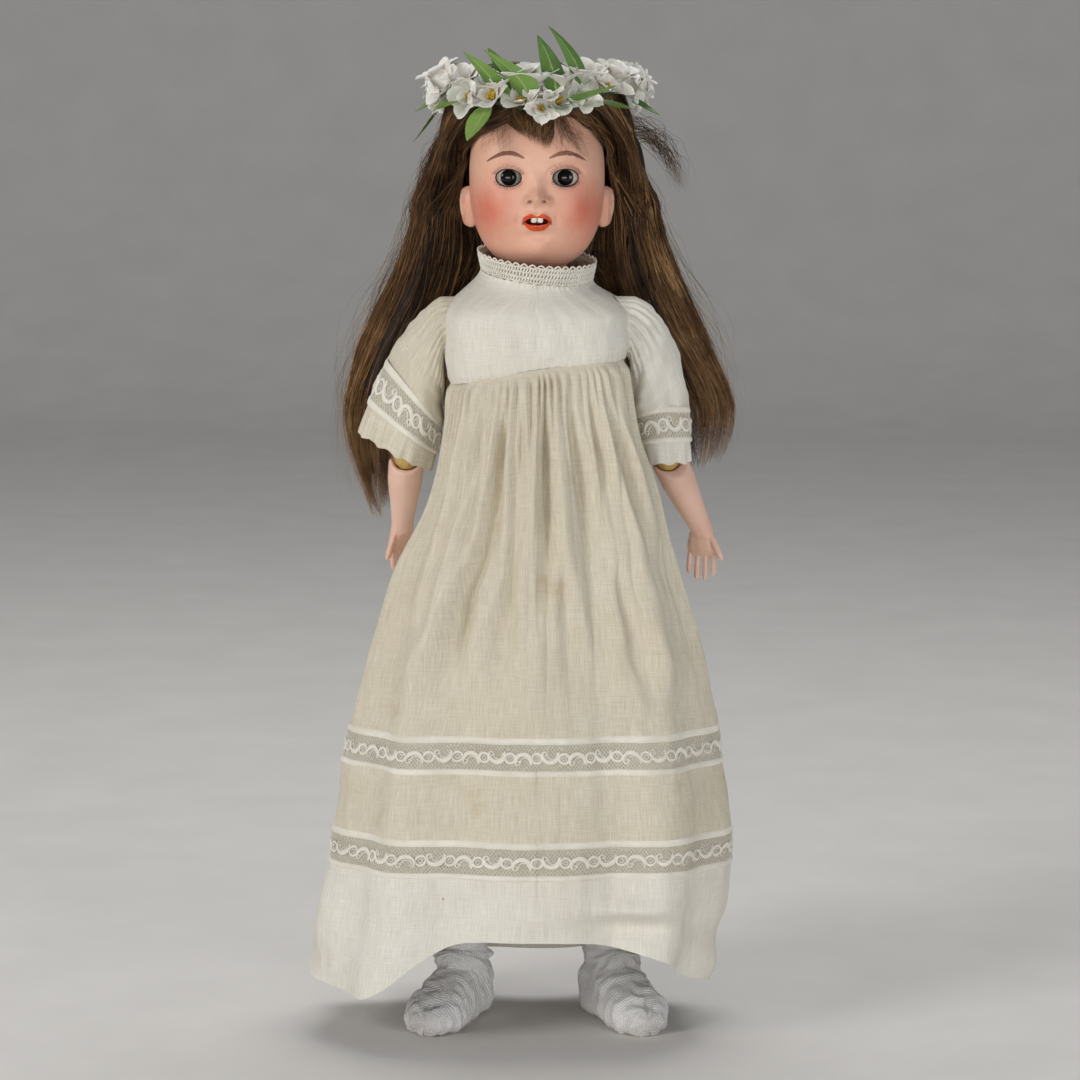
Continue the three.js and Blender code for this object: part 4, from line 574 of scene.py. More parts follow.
# Green wire, darkened beyond its own colour as painted shade under the flowers.
WIRE_AND_SHADE = plain_finish("green_wire", (70, 80, 46), (42, 50, 28), 0.75, 500)
POLLEN = plain_finish("pollen", (236, 206, 70), (206, 164, 40), 0.8, 900)
STEEL = plain_finish("steel", (168, 168, 170), (120, 116, 112), 0.35, 300, 1.0)
LEAD = plain_finish("lead", (120, 122, 126), (84, 86, 90), 0.6, 260, 1.0)
ELASTIC = plain_finish("elastic", (226, 216, 194), (190, 176, 148), 0.85, 900, 0.0, 0.6)
CARD = plain_finish("cardboard", (190, 164, 120), (158, 132, 92), 0.9, 160)
ENAMEL = plain_finish("enamel", (246, 242, 232), (232, 224, 208), 0.15, 500, 0.0, 0.05)
FELT = plain_finish("felt", (176, 44, 30), (132, 26, 20), 0.9, 900, 0.0, 0.6)
PEARL = plain_finish("china", (240, 236, 226), (222, 214, 200), 0.25, 240, 0.0, 0.1)
BROW_PAINT = plain_finish("brow_paint", (166, 116, 98), (144, 96, 80), 0.55, 700)
# A dark line round each eye opening.
EYE_RIM_DARK = plain_finish("dark_eye_rim", (58, 36, 30), (40, 24, 20), 0.5, 700)
LASH_PAINT = plain_finish("lash_paint", (84, 56, 48), (60, 38, 32), 0.55, 700)

CARRIED = {
    "torso": COMPOSITION, "upper_arm": COMPOSITION, "forearm": COMPOSITION, "thigh": COMPOSITION,
    "lower_leg": COMPOSITION, "shoulder_ball": WOOD, "elbow_ball": WOOD, "knee_ball": WOOD,
    "neck_plug": WOOD, "neck_hook": STEEL, "arm_elastic": ELASTIC, "leg_elastic": ELASTIC,
    "pate": CARD, "eye_rocker": STEEL, "eye_weight": LEAD, "upper_teeth": ENAMEL, "tongue": FELT,
    "button": PEARL,
}
for node, obj in NODES.items():
    for start, material in CARRIED.items():
        if node.startswith(start):
            obj.data.materials.clear()
            obj.data.materials.append(material)

# Camera, floor and light, in metres

EYE_LEVEL = 0.65
DISTANCE = 2.5
PITCH = math.radians(7.97)
FOCAL_PIXELS = 4158
IMAGE_PIXELS = 1080
SENSOR = 36.0
MIDDLE_PIXEL = 537

lens = bpy.data.cameras.new("camera")
lens.sensor_width = SENSOR
lens.lens = FOCAL_PIXELS / IMAGE_PIXELS * SENSOR
lens.shift_x = (IMAGE_PIXELS / 2 - MIDDLE_PIXEL) / IMAGE_PIXELS
camera = bpy.data.objects.new("camera", lens)
camera.location = (MIDDLE[0] / MM, MIDDLE[1] / MM - DISTANCE, EYE_LEVEL)
camera.rotation_euler = (math.pi / 2 - PITCH, 0, 0)
bpy.context.scene.collection.objects.link(camera)
bpy.context.scene.camera = camera
bpy.context.scene.view_settings.view_transform = "Standard"


def stage_sheet():
    """A floor that curves up into a plain backdrop far behind the doll."""
    run, radius, back, half, high = 4.0, 1.2, 3.2, 6.0, 4.0
    profile = [(-run, 0.0)]
    for bend in np.linspace(0, np.pi / 2, 24):
        profile.append((back + radius * math.sin(bend), radius * (1 - math.cos(bend))))
    profile.append((back + radius, high))
    points = [(x * half * MM, y * MM, z * MM) for y, z in profile for x in (-1, 1)]
    return np.array(points) - MIDDLE, grid_faces(len(profile), 2)


PAPER = plain_finish("paper", (226, 223, 219), (220, 217, 213), 0.95, 12, 0.0, 0.02)
piece("floor", *stage_sheet(), PAPER)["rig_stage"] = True


LIT_PLACE = (0.0, 0.0, 0.32)


def softbox(name, place, size, watts, colour=(1.0, 1.0, 1.0), spread=180):
    data = bpy.data.lights.new(name, "AREA")
    data.shape = "RECTANGLE"
    data.size, data.size_y = size
    data.energy = watts
    data.spread = math.radians(spread)
    data.color = colour
    light = bpy.data.objects.new(name, data)
    light.location = place
    aim = Vector(LIT_PLACE) - Vector(place)
    light.rotation_euler = aim.to_track_quat("-Z", "Y").to_euler()
    bpy.context.scene.collection.objects.link(light)


softbox("key", (-2.1, -1.7, 1.45), (1.0, 1.3), 35, (1.0, 0.985, 0.96))
softbox("fill", (1.7, -2.2, 0.5), (1.2, 0.9), 16, (0.97, 0.985, 1.0))
softbox("low", (-0.3, -3.0, 0.34), (1.6, 0.5), 3.4, spread=80)
softbox("top", (0.1, 0.7, 2.1), (1.6, 1.2), 18)
sky = bpy.data.worlds.new("studio")
sky.use_nodes = True
glow = sky.node_tree.nodes["Background"].inputs
glow["Color"].default_value = (0.78, 0.80, 0.83, 1.0)
glow["Strength"].default_value = 0.27
bpy.context.scene.world = sky

# Head

HEAD_HALF_WIDTH, HEAD_FRONT, HEAD_BACK, HEAD_TOP, HEAD_BOTTOM = 40.5, 42, 50, 52, 56.5
HEAD_POWER = 2.5
CROWN_HEIGHT, CROWN_SLOPE = 37, math.tan(math.radians(16))
NECK_Y, NECK_Z = 4, 456.327
NECK_PROFILE = np.array([  # radius, height
    (0.5, -20), (6, -19), (12, -16), (17, -10.5), (19.4, -5), (20, 0), (19.4, 5), (18, 9), (18, 16),
    (18, 24)])
EAR_X, EAR_Y, EAR_Z = 39.0, 6, -19.5
FACE_DEPTH, FACE_STEPS = 40.0, (42, 44)  # for the search of a point of the face
EYE_SPACING, EYE_DEPTH, EYE_RADIUS, EYE_REACH = 16.8, 25.6, 10.2, 10.35
EYE_OPENING = (7.6, 5.25)
MOUTH = (-25.6, 7.0, 2.3)  # height, half width, half height
RIM_WALLS = ((3.2, 0.97, False), (3.2, 0.97, False), (5.0, 0.9, True))  # depth, taper, closed
NOSTRIL = (4.2, -13.6)
TOOTH = (1.8, 1.1, 2.3)
FACE_RELIEF = [  # x, z, width, height, rise; the first group is single, the second on both sides
    [(0, 22, 24, 13, 1.5), (0, -4, 4.2, 6, 2.6), (0, -11.5, 4.0, 4.4, 9.0), (0, -24, 11, 8, 3),
     (0, -28.8, 5.2, 2.1, 2.5), (0, -34, 8, 2.6, -1.6), (0, -43, 9, 7, 4.5),
     (0, -18.4, 1.5, 2.2, -0.7)],
    [(5.9, -13.2, 2.5, 2.5, 4.2), (17, 12, 10, 4, 1.4), (16.8, 0, 8.5, 6, -3), (24, -20, 11, 11, 4),
     (4, -22.0, 4, 1.8, 1.9), (4.1, -14.2, 1.5, 1.2, -2.4), (11.6, -25.6, 1.6, 2.6, -1.0)],
]


def face_relief(x, z):
    total = 0
    for across, group in zip((x, np.abs(x)), FACE_RELIEF):
        for bx, bz, width, height, rise in group:
            total = total + rise * bell(across, bx, width) * bell(z, bz, height)
    eye = np.hypot((np.abs(x) - EYE_SPACING) / EYE_OPENING[0], z / EYE_OPENING[1])
    total = total + 0.6 * bell(eye, 1.1, 0.16) - 0.5 * bell(eye, 1.5, 0.16) * smoothstep(z, -1, 4)
    return total


def head_point(azimuth, elevation, extra=0.0):
    """Points on the head, or extra above it, by angles from its middle; the face looks along -Y."""
    azimuth, elevation = both(azimuth, elevation)
    level = np.cos(elevation)
    ray = np.stack([level * np.sin(azimuth), -level * np.cos(azimuth), np.sin(elevation)], -1)
    size = np.stack([np.full_like(azimuth, HEAD_HALF_WIDTH),
                     np.where(ray[..., 1] < 0, HEAD_FRONT, HEAD_BACK),
                     np.where(ray[..., 2] > 0, HEAD_TOP, HEAD_BOTTOM)], -1)
    reach = (np.abs(ray / size) ** HEAD_POWER).sum(-1) ** (-1 / HEAD_POWER)
    p = ray * (reach + extra)[..., None]
    p[..., 1] -= smoothstep(-ray[..., 1], 0.1, 0.55) * face_relief(p[..., 0], p[..., 2])
    return p + HEAD


def face_angles(x, z):
    """The azimuth and elevation of the point of the face at a given x and z."""
    x, z = np.asarray(x, float), np.asarray(z, float)
    azimuth, elevation = np.arctan2(x, FACE_DEPTH), np.arctan2(z, np.hypot(x, FACE_DEPTH))
    for _ in range(8):
        p = head_point(azimuth, elevation) - HEAD
        azimuth = azimuth + (x - p[..., 0]) / FACE_STEPS[0]
        elevation = elevation + (z - p[..., 2]) / FACE_STEPS[1]
    return azimuth, elevation


def openings():
    """Middle and half sizes, in angles, of the two eyes and the mouth."""
    holes = []
    for x, z, half_x, half_z in ((EYE_SPACING, 0, *EYE_OPENING), (-EYE_SPACING, 0, *EYE_OPENING),
                                 (0, *MOUTH)):
        azimuth, elevation = face_angles([x - half_x, x + half_x, x, x],
                                         [z, z, z - half_z, z + half_z])
        holes.append(((azimuth[0] + azimuth[1]) / 2, (elevation[2] + elevation[3]) / 2,
                      (azimuth[1] - azimuth[0]) / 2, (elevation[3] - elevation[2]) / 2))
    return holes


HOLES = openings()


def hole_walls():
    """Walls inwards from the openings, and how deep in the mouth their points lie."""
    turn = circle(96)
    walls, depths = [], []
    for (a0, e0, half_a, half_e), (deep, shrink, closed) in zip(HOLES, RIM_WALLS):
        outer = head_point(a0 + half_a * np.cos(turn), e0 + half_e * np.sin(turn))
        centre = outer.mean(0)
        rings = []
        for t in np.linspace(0, 1, 5):
            ring = centre + (outer - centre) * lerp(1.0, shrink, t)
            ring[:, 1] = outer[:, 1] + deep * t
            rings.append(ring)
        if closed:
            inner = rings[-1] - centre
            rings += [centre + inner * [share, 1, share] for share in (0.5, 0.05)]
        walls.append((np.array(rings), grid_faces(len(rings), len(turn), True)))
        depths.append(np.repeat(np.arange(len(rings)) / 4 * closed, len(turn)))
    return walls, depths


def neck_mesh():
    turn = circle(48)
    radius, height = NECK_PROFILE.T[:, :, None]
    level = np.repeat(height + NECK_Z, len(turn), 1)
    points = np.stack([radius * np.sin(turn), NECK_Y - radius * np.cos(turn), level], -1)
    return points, grid_faces(len(NECK_PROFILE), len(turn), True)


def head_mesh():
    """The head's points and faces, and how deep in the mouth each point lies."""
    front, rest = np.linspace(-62, 62, 250), np.linspace(62, 298, 72)
    columns = np.concatenate([np.radians(front), np.radians(rest[1:-1])])
    low, face, high = np.linspace(-88, -56, 12), np.linspace(-56, 30, 176), np.linspace(30, 89, 28)
    rows = np.radians(np.concatenate([low[:-1], face, high[1:]]))
    elevation, azimuth = (grid.ravel() for grid in pairs(rows, columns))
    faces = grid_faces(len(rows), len(columns), True)
    keep = np.ones(len(faces), bool)
    for a0, e0, half_a, half_e in HOLES:
        away = np.hypot((azimuth - a0) / half_a, (elevation - e0) / half_e)
        inside = (away < 1)[faces]
        keep &= ~inside.all(1)
        edge = np.unique(faces[inside.any(1) & ~inside.all(1)])
        edge = edge[away[edge] < 1]
        azimuth[edge] = a0 + (azimuth[edge] - a0) / away[edge]
        elevation[edge] = e0 + (elevation[edge] - e0) / away[edge]
    points = head_point(azimuth, elevation)
    crown = points[:, 2] - HEAD[2] > CROWN_HEIGHT - CROWN_SLOPE * points[:, 1]
    keep &= ~crown[faces].all(1)
    walls, depths = hole_walls()
    whole = joined((points, faces[keep]), *walls, neck_mesh(), ear_mesh(LEFT), ear_mesh(RIGHT))
    depth = np.concatenate([np.zeros(len(points)), *depths])
    return *whole, np.append(depth, np.zeros(len(whole[0]) - len(depth)))


def ear_mesh(side):
    """A moulded ear: rim, hollow and lobe."""
    v, u = pairs(np.linspace(-np.pi / 2, np.pi / 2, 40), circle(64))
    across, back, up = np.cos(v) * np.cos(u), np.cos(v) * np.sin(u), np.sin(v)
    out = np.clip(across, 0, None) ** 0.6
    far = np.hypot(back, up)
    hollow = 3.2 * bell(far, 0.42, 0.3) * bell(back, -0.1, 0.5) * bell(up, 0.0, 0.55)
    shape = 1.5 * bell(far, 0.86, 0.14) - hollow
    shape = shape + 0.9 * bell(np.hypot(back - 0.05, up - 0.05), 0.55, 0.08)
    x = across * 5.5 + out * shape
    y = back * lerp(6.2, 8.6, smoothstep(up, -0.9, 0.6))
    z = up * 12.5
    lean = 0.16 * z
    flare = 0.30 * np.clip(y + 4, 0, None)
    place = [side * (EAR_X + x + lean * 0.3 + flare), EAR_Y + y - lean * 0.5, EAR_Z + z]
    return np.stack(place, -1) + HEAD, grid_faces(*v.shape, True)


def face_paint(points):
    """Where the blush, the lips and the dark red lie, from 0 to 1."""
    x, y, z = (points - HEAD).T
    front = smoothstep(-y, 8, 24)
    wide = np.abs(x)
    blush = 0.80 * bell(wide, 29, 14) * bell(z, -20, 16) * smoothstep(-y, -6, 12)
    blush += 0.12 * bell(z, -44, 9) * front + 0.10 + 0.08 * bell(z, 30, 12) * front
    ear = smoothstep(wide, 40, 43)
    blush += ear * (0.10 + 0.3 * smoothstep(-z, 24, 31))
    blush += 0.12 * bell(np.hypot((wide - EYE_SPACING) / 8.8, z / 6.4), 1.1, 0.25) * front
    top = -20.9 - 1.5 * bell(x, 0, 1.9) - 0.055 * np.clip(wide - 3.2, 0, None) ** 2 * 1.9
    bottom = -31.6 + 0.105 * np.clip(wide - 1.5, 0, None) ** 2
    lips = smoothstep(top - z, -0.25, 0.25) * smoothstep(z - bottom, -0.25, 0.25)
    lips = lips * smoothstep(9.2 - wide, 0, 1.2) * front
    dark = 0.95 * bell(np.hypot(wide - NOSTRIL[0], (z - NOSTRIL[1]) / 0.85), 0, 1.25) * front
    corner = 0.8 * smoothstep(1.6 - np.abs(z + 25.2 + 0.02 * wide ** 2), 0, 1.0)
    dark += corner * smoothstep(wide, 5.6, 8.5) * smoothstep(9.4 - wide, 0, 1) * front
    return np.clip(blush, 0, 1), np.clip(lips, 0, 1), np.clip(dark, 0, 1)


head_points, head_faces, mouth_depth = head_mesh()
blush, lips, dark = face_paint(head_points)
# The mouth's walls darken with depth, as painted shade inside the head.
dark = np.maximum(dark, 0.95 * smoothstep(mouth_depth, 0.1, 0.9))
bisque = piece("bisque_head_fine", head_points, head_faces, BISQUE, blush=blush, lips=lips,
               dark=dark)
fitted(bisque, "head", "bisque", "bisque_head")


def tooth(x, y, z, half):
    """A smooth rounded block about a point."""
    v, u = pairs(np.linspace(-np.pi / 2, np.pi / 2, 25), circle(32))
    ball = np.stack([np.cos(v) * np.cos(u), np.cos(v) * np.sin(u), np.sin(v)], -1)
    ball = np.sign(ball) * np.abs(ball) ** (0.6, 0.9, 0.6)
    return ball * half + HEAD + [x, y, z], grid_faces(*v.shape, True)


teeth = joined(tooth(-1.85, -40.2, -24.2, TOOTH), tooth(1.85, -40.2, -24.2, TOOTH),
               tooth(0, -37.6, -21.9, (4.4, 2.6, 1.4)))
fitted(piece("upper_teeth_pair", *teeth, ENAMEL), "head", "enamel", "upper_teeth")


def strokes(marks, lift):
    """Fine painted lines on the face; each mark has its two ends and bow, in x and z, and width."""
    starts, ends, bow, width = (np.array(column, float) for column in zip(*marks))
    t = np.linspace(0, 1, 7)
    line = starts[:, None] + (ends - starts)[:, None] * t[None, :, None]
    line = line + bow[:, None, :] * (4 * t * (1 - t))[None, :, None]
    azimuth, elevation = face_angles(line[..., 0], line[..., 1])
    paths = head_point(azimuth, elevation, lift)
    taper = 0.35 + 0.65 * np.sin(np.pi * (0.15 + 0.8 * t))
    return tubes(paths, width[:, None] * taper[None], 4, up=(0, -1, 0), flat=0.3)


def lashes():
    rng = np.random.default_rng(11)
    upper, lower = np.linspace(18, 162, 30), np.linspace(200, 340, 24)
    marks = []
    for side in (LEFT, RIGHT):
        for angle in np.radians(np.concatenate([upper, lower])):
            c, s = math.cos(angle), math.sin(angle)
            reach = (2.6 if s > 0 else 1.9) * rng.uniform(0.8, 1.15)
            x, z = 7.8 * c, 5.4 * s
            way = unit(np.array([c * 0.8, s * 1.1]))
            start = side * (EYE_SPACING + x), z
            end = side * (EYE_SPACING + x + way[0] * reach), z + way[1] * reach
            marks.append((start, end, (side * 0.15, 0.1), rng.uniform(0.11, 0.16)))
    return strokes(marks, 0.04)


def brows():
    rng = np.random.default_rng(12)
    marks = []
    for side in (LEFT, RIGHT):
        for _ in range(230):
            t = rng.beta(1.3, 1.3)
            x = lerp(7.0, 27.5, t)
            arch = 10.4 + 4.2 * math.sin(math.pi * min(1, 0.06 + t * 0.92)) ** 0.9
            half = 1.2 * math.sin(math.pi * (0.10 + 0.86 * t)) ** 0.7
            z = arch + rng.uniform(-half, half)
            slope = 0.62 * math.cos(math.pi * (0.06 + t * 0.92))
            reach = rng.uniform(1.6, 3.0)
            end = side * (x + reach), z + slope * reach
            marks.append(((side * x, z), end, (0, 0.08), rng.uniform(0.16, 0.3)))
    return strokes(marks, 0.03)


def eye_rims():
    """A dark line along the rim of each eye opening."""
    turn = np.linspace(0, TAU, 73)
    paths = []
    for a0, e0, half_a, half_e in HOLES[:2]:
        rim = head_point(a0 + half_a * np.cos(turn), e0 + half_e * np.sin(turn))
        rim[:, 1] += 0.05
        paths.append(rim)
    return tubes(paths, 0.45, 6, up=(0, -1, 0))


for name, mesh, material in (("painted_lashes", lashes(), LASH_PAINT),
                             ("painted_brows", brows(), BROW_PAINT),
                             ("eye_rims", eye_rims(), EYE_RIM_DARK)):
    fitted(piece(name, *mesh, material), "head", "bisque")


LID_EDGE, LID_END, IRIS_EDGE = (math.radians(degrees) for degrees in (33, 150, 30))


def eyeball(side):
    """A glass eye about its own middle, looking along -Y, with a lid over its top."""
    v, u = pairs(np.linspace(0.0, np.pi, 90), circle(96))
    bulge = 1 + 0.035 * bell(v, 0, 0.42)
    ray = np.stack([np.sin(v) * np.cos(u), -np.cos(v), np.sin(v) * np.sin(u)], -1)
    points = EYE_RADIUS * bulge[..., None] * ray
    size = np.linalg.norm(points, axis=-1, keepdims=True)
    points = np.minimum(1.0, EYE_REACH / (size + 1e-9)) * points
    rise = np.arctan2(points[..., 2], -points[..., 1])
    lid = smoothstep(rise, math.radians(32.5), math.radians(33.5))
    lid = lid * smoothstep(LID_END - rise, 0, 0.1)
    lash = bell(rise, LID_EDGE, math.radians(1.6))
    aside = np.clip(v / IRIS_EDGE, 0, 1)
    name = f"eye_{SIDE_NAMES[side]}"
    points = points.reshape(-1, 3) + (HEAD + np.array([side * EYE_SPACING, -EYE_DEPTH, 0]))
    obj = piece(name + "_glass", points, grid_faces(*v.shape, True), EYE, aside=aside, lid=lid,
                lash=lash)
    fitted(obj, "eyes", "eye_glass", name)


for side in (LEFT, RIGHT):
    eyeball(side)

# Limbs, socks

HAND_TOP = 302
PLAIN_PASSES = 90
for kind, voxel, passes, material, slot, above in (
        ("forearm", 0.55, 7, COMPOSITION, "composition", HAND_TOP),
        ("upper_arm", 1.1, 8, COMPOSITION, "composition", None),
        ("thigh", 1.1, 8, COMPOSITION, "composition", None),
        ("lower_leg", 1.1, 8, COMPOSITION, "composition", None),
        ("elbow_ball", 0.6, 4, WOOD, "wood", None),
        ("knee_ball", 0.6, 4, WOOD, "wood", None),
        ("shoulder_ball", 0.6, 4, WOOD, "wood", None)):
    for name in SIDE_NAMES.values():
        smooth_copy(f"{kind}_{name}", voxel, passes, material, slot, above)

ANKLE = (45.99, 14.07)
TOE_OUT = math.radians(24)
CREASE_FORWARD, CREASE_Z = 18.0, 46.0
SOCK_REACH = (0.046, 0.028)  # metres towards heel and sole, and towards shin and instep
SOCK_THICK = 1.1
SOCK_COLUMNS = 96


def foot_axes(side):
    """Forward and across in the line of a foot whose toes are turned out."""
    forward = np.array([side * math.sin(TOE_OUT), -math.cos(TOE_OUT), 0.0])
    return forward, np.array([math.cos(TOE_OUT), side * math.sin(TOE_OUT), 0.0])


def sock_rows(corners, side):
    """Rays' middles and ways that sweep down the ankle, round the heel and along the foot."""
    forward, across = foot_axes(side)
    ankle = np.array([side * ANKLE[0], ANKLE[1], 0.0])
    up = np.array([0.0, 0.0, 1.0])
    toe, top = ((corners - ankle) @ forward).max(), corners[:, 2].max()
    rows = [(ankle + up * z, -forward) for z in np.linspace(top - 0.2, CREASE_Z, 34)]
    crease = ankle + forward * CREASE_FORWARD + up * CREASE_Z
    for turn in np.linspace(0, np.pi / 2, 34)[1:]:
        way = -forward * math.cos(turn) - up * math.sin(turn)
        rows.append((crease + way * 21, way))
    for share in np.linspace(0.03, 1, 40):
        place = ankle + forward * lerp(CREASE_FORWARD, toe - 1.2, share)
        rows.append((place + up * lerp(18.0, 11.0, share), -up))
    return rows, across


def node_tree(node):
    mesh = NODES[node].data
    corners = [v.co.copy() for v in mesh.vertices]
    return BVHTree.FromPolygons(corners, [tuple(p.vertices) for p in mesh.polygons])


def last_hit(tree, origin, direction, reach):
    """The farthest place within reach where a ray meets the solid, or one 4 mm out."""
    last, start = None, origin
    for _ in range(8):
        hit = tree.ray_cast(start, direction, reach - (start - origin).length)[0]
        if hit is None:
            break
        last, start = hit, hit + direction * 1e-5
    return tuple(last if last is not None else origin + direction * 0.004)


def sock_mesh(side):
    """Rings of points on the outside of the sock."""
    node = f"sock_{SIDE_NAMES[side]}"
    tree = node_tree(node)
    corners = np.array([tuple(v.co) for v in NODES[node].data.vertices]) * MM - MIDDLE
    rows, across = sock_rows(corners, side)
    points = []
    for centre, way in rows:
        origin = Vector(world(centre))
        ring = []
        for i in range(SOCK_COLUMNS):
            angle = TAU * i / SOCK_COLUMNS
            direction = Vector(across * math.sin(angle) + way * math.cos(angle))
            ring.append(last_hit(tree, origin, direction, SOCK_REACH[math.cos(angle) < -0.2]))
        points.append(ring)
    points = np.array(points) * MM - MIDDLE
    for _ in range(5):
        around = (np.roll(points, 1, 1) + np.roll(points, -1, 1)) / 2
        along = points.copy()
        along[1:-1] = (points[2:] + points[:-2]) / 2
        points = 0.5 * points + 0.25 * around + 0.25 * along
    return points


def clear_of_leg(points, side):
    """Moves the knit out to its own thickness wherever it would lie in the leg."""
    tree = node_tree(f"lower_leg_{SIDE_NAMES[side]}")
    flat = points.reshape(-1, 3).copy()
    for i, place in enumerate(world(flat)):
        near, normal = tree.find_nearest(Vector(place))[:2]
        short = SOCK_THICK - (Vector(place) - near).dot(normal) * MM
        if short > 0:
            flat[i] += np.array(normal) * short
    return flat.reshape(points.shape)


def sock(side):
    points = sock_mesh(side)
    rows, columns = points.shape[:2]
    around = unit(np.roll(points, -1, 1) - np.roll(points, 1, 1))
    along = unit(np.gradient(points, axis=0))
    normal = np.cross(around, along)
    outwards = np.sign((normal * (points - points.mean(1, keepdims=True))).sum(-1, keepdims=True))
    normal = normal * outwards
    u = np.linspace(0, 1, columns, endpoint=False)[None] * np.ones((rows, 1))
    v = lengths(points.mean(1))[:, None] * np.ones((1, columns))
    ruck = waves(21 + side, 60 * np.sin(TAU * u), v, 9, 90, 15)
    ruck += 0.8 * waves(31 + side, 60 * np.cos(TAU * u), v, 7, 60, 9)
    amount = lerp(1.8, 0.9, smoothstep(v, 30, 90)) * smoothstep(v, 0, 12)
    points = clear_of_leg(points + normal * (amount * ruck)[..., None], side)
    points[..., 2] = np.maximum(points[..., 2], 0.0)
    toe = np.concatenate([points, np.broadcast_to(points[-1].mean(0), (1, columns, 3))])
    v = np.concatenate([v, v[-1:] + 8])
    u = np.concatenate([u, u[-1:]])
    # Darker towards the toe and within 8 mm of the floor.
    soil = smoothstep(v, 118, 150) * 0.35 + 0.25 * smoothstep(8 - toe[..., 2], 0, 6)
    uv = np.stack([u * 100 / 10, v / 10], -1)
    name, leg = f"sock_{SIDE_NAMES[side]}", f"lower_leg_{SIDE_NAMES[side]}"
    obj = piece(name + "_knit", toe, grid_faces(rows + 1, columns, True), KNIT, uv=uv, turn=10.0,
                soil=np.clip(soil, 0, 1))
    fitted(obj, leg, "knit", name)


for side in (LEFT, RIGHT):
    sock(side)

# Wig

HAIR_GAP, HAIR_TOP, HAIR_SIDE = 2.1, 11.0, 26.0


def hairline(azimuth):
    turn = np.abs((azimuth + np.pi) % TAU - np.pi)
    to_side = smoothstep(turn, math.radians(25), math.radians(85))
    to_back = smoothstep(turn, math.radians(95), math.radians(140))
    return np.radians(lerp(lerp(37, 22, to_side), -38, to_back))


def wig_top(azimuth, elevation):
    side = np.sin(azimuth) ** 2 * np.cos(elevation)
    edge = smoothstep(elevation - hairline(azimuth), -0.05, 0.5)
    return HAIR_GAP + HAIR_TOP * (0.4 + 0.6 * edge) + HAIR_SIDE * side * np.cos(azimuth / 2) ** 2


FALL_TOP = [(-36, 46, 16, 8, 14), (-16, 54, 18, 12, 17)]
SIDE_FALLS = {  # drop below the middle of the head, x, y, half width, half depth
    LEFT: np.array(FALL_TOP + [
        (6, 58, 29, 12, 14), (28, 60, 34, 14, 12), (60, 66, 41, 19, 10), (105, 85, 49, 21, 8),
        (145, 102, 52, 19, 8), (172, 103, 52, 12, 7), (188, 100, 51, 4, 4)], float),
    RIGHT: np.array(FALL_TOP + [
        (6, 60, 29, 13, 14), (28, 61, 35, 15, 12), (60, 68, 43, 19, 10), (105, 87, 51, 20, 8),
        (145, 101, 58, 16, 8), (182, 102, 62, 11, 7), (218, 97, 62, 3, 4)], float),
}
BACK_FALL = np.array([
    (36, 0, 46, 24, 5), (60, 0, 53, 40, 6), (95, 0, 60, 52, 7), (135, 0, 64, 60, 7),
    (175, 0, 64, 56, 6), (200, 0, 63, 40, 4)], float)


def fall_point(table, side, drop, across, deep):
    """A point in a lock, at shares of its half width and half depth."""
    x = through(table, 1, drop) + across * through(table, 3, drop)
    y = through(table, 2, drop) + deep * through(table, 4, drop)
    return np.stack([side * x, y, HEAD[2] - drop + 0 * x], -1)


def smooth_paths(keys, steps):
    """Smooth lines through the key points of many strands."""
    keys = np.asarray(keys, float)
    n = keys.shape[1]
    t = np.linspace(0, n - 1, steps)
    k = np.minimum(t.astype(int), n - 2)
    f = (t - k)[None, :, None]
    a, b = keys[:, k], keys[:, k + 1]
    before = keys[:, np.maximum(k - 1, 0)]
    after = keys[:, np.minimum(k + 2, n - 1)]
    m0, m1 = (b - before) / 2, (after - a) / 2
    ends = (2 * f ** 3 - 3 * f ** 2 + 1) * a + (3 * f ** 2 - 2 * f ** 3) * b
    return ends + (f ** 3 - 2 * f ** 2 + f) * m0 + (f ** 3 - f ** 2) * m1


CLUMPS = 34
HAIR_REACH, REACH_SOFT = 112.0, 14
BEHIND_EAR = 122


def clumped(rng, count, spread):
    """Places across a lock from -1 to 1, drawn together in clumps, and the clump of each strand."""
    centre = rng.uniform(-1, 1, (CLUMPS, 2))
    clump = rng.integers(0, CLUMPS, count)
    place = centre[clump] + rng.normal(0, spread, (count, 2))
    return place / np.maximum(1, np.linalg.norm(place, axis=1))[:, None], clump


def waved(paths, clump, rng, reach):
    """Adds a slow wave that the strands of a clump share, and that grows from the ears down."""
    z = paths[..., 2]
    fall = reach * smoothstep(HEAD[2] - z, 0, 110)
    pace = rng.uniform(0.030, 0.070, (CLUMPS, 1))[clump]
    phase = rng.uniform(0, TAU, (CLUMPS, 2))[clump]
    paths[..., 0] += fall * np.sin(pace * z + phase[:, :1])
    paths[..., 1] += 0.6 * fall * np.sin(0.8 * pace * z + phase[:, 1:])
    return paths


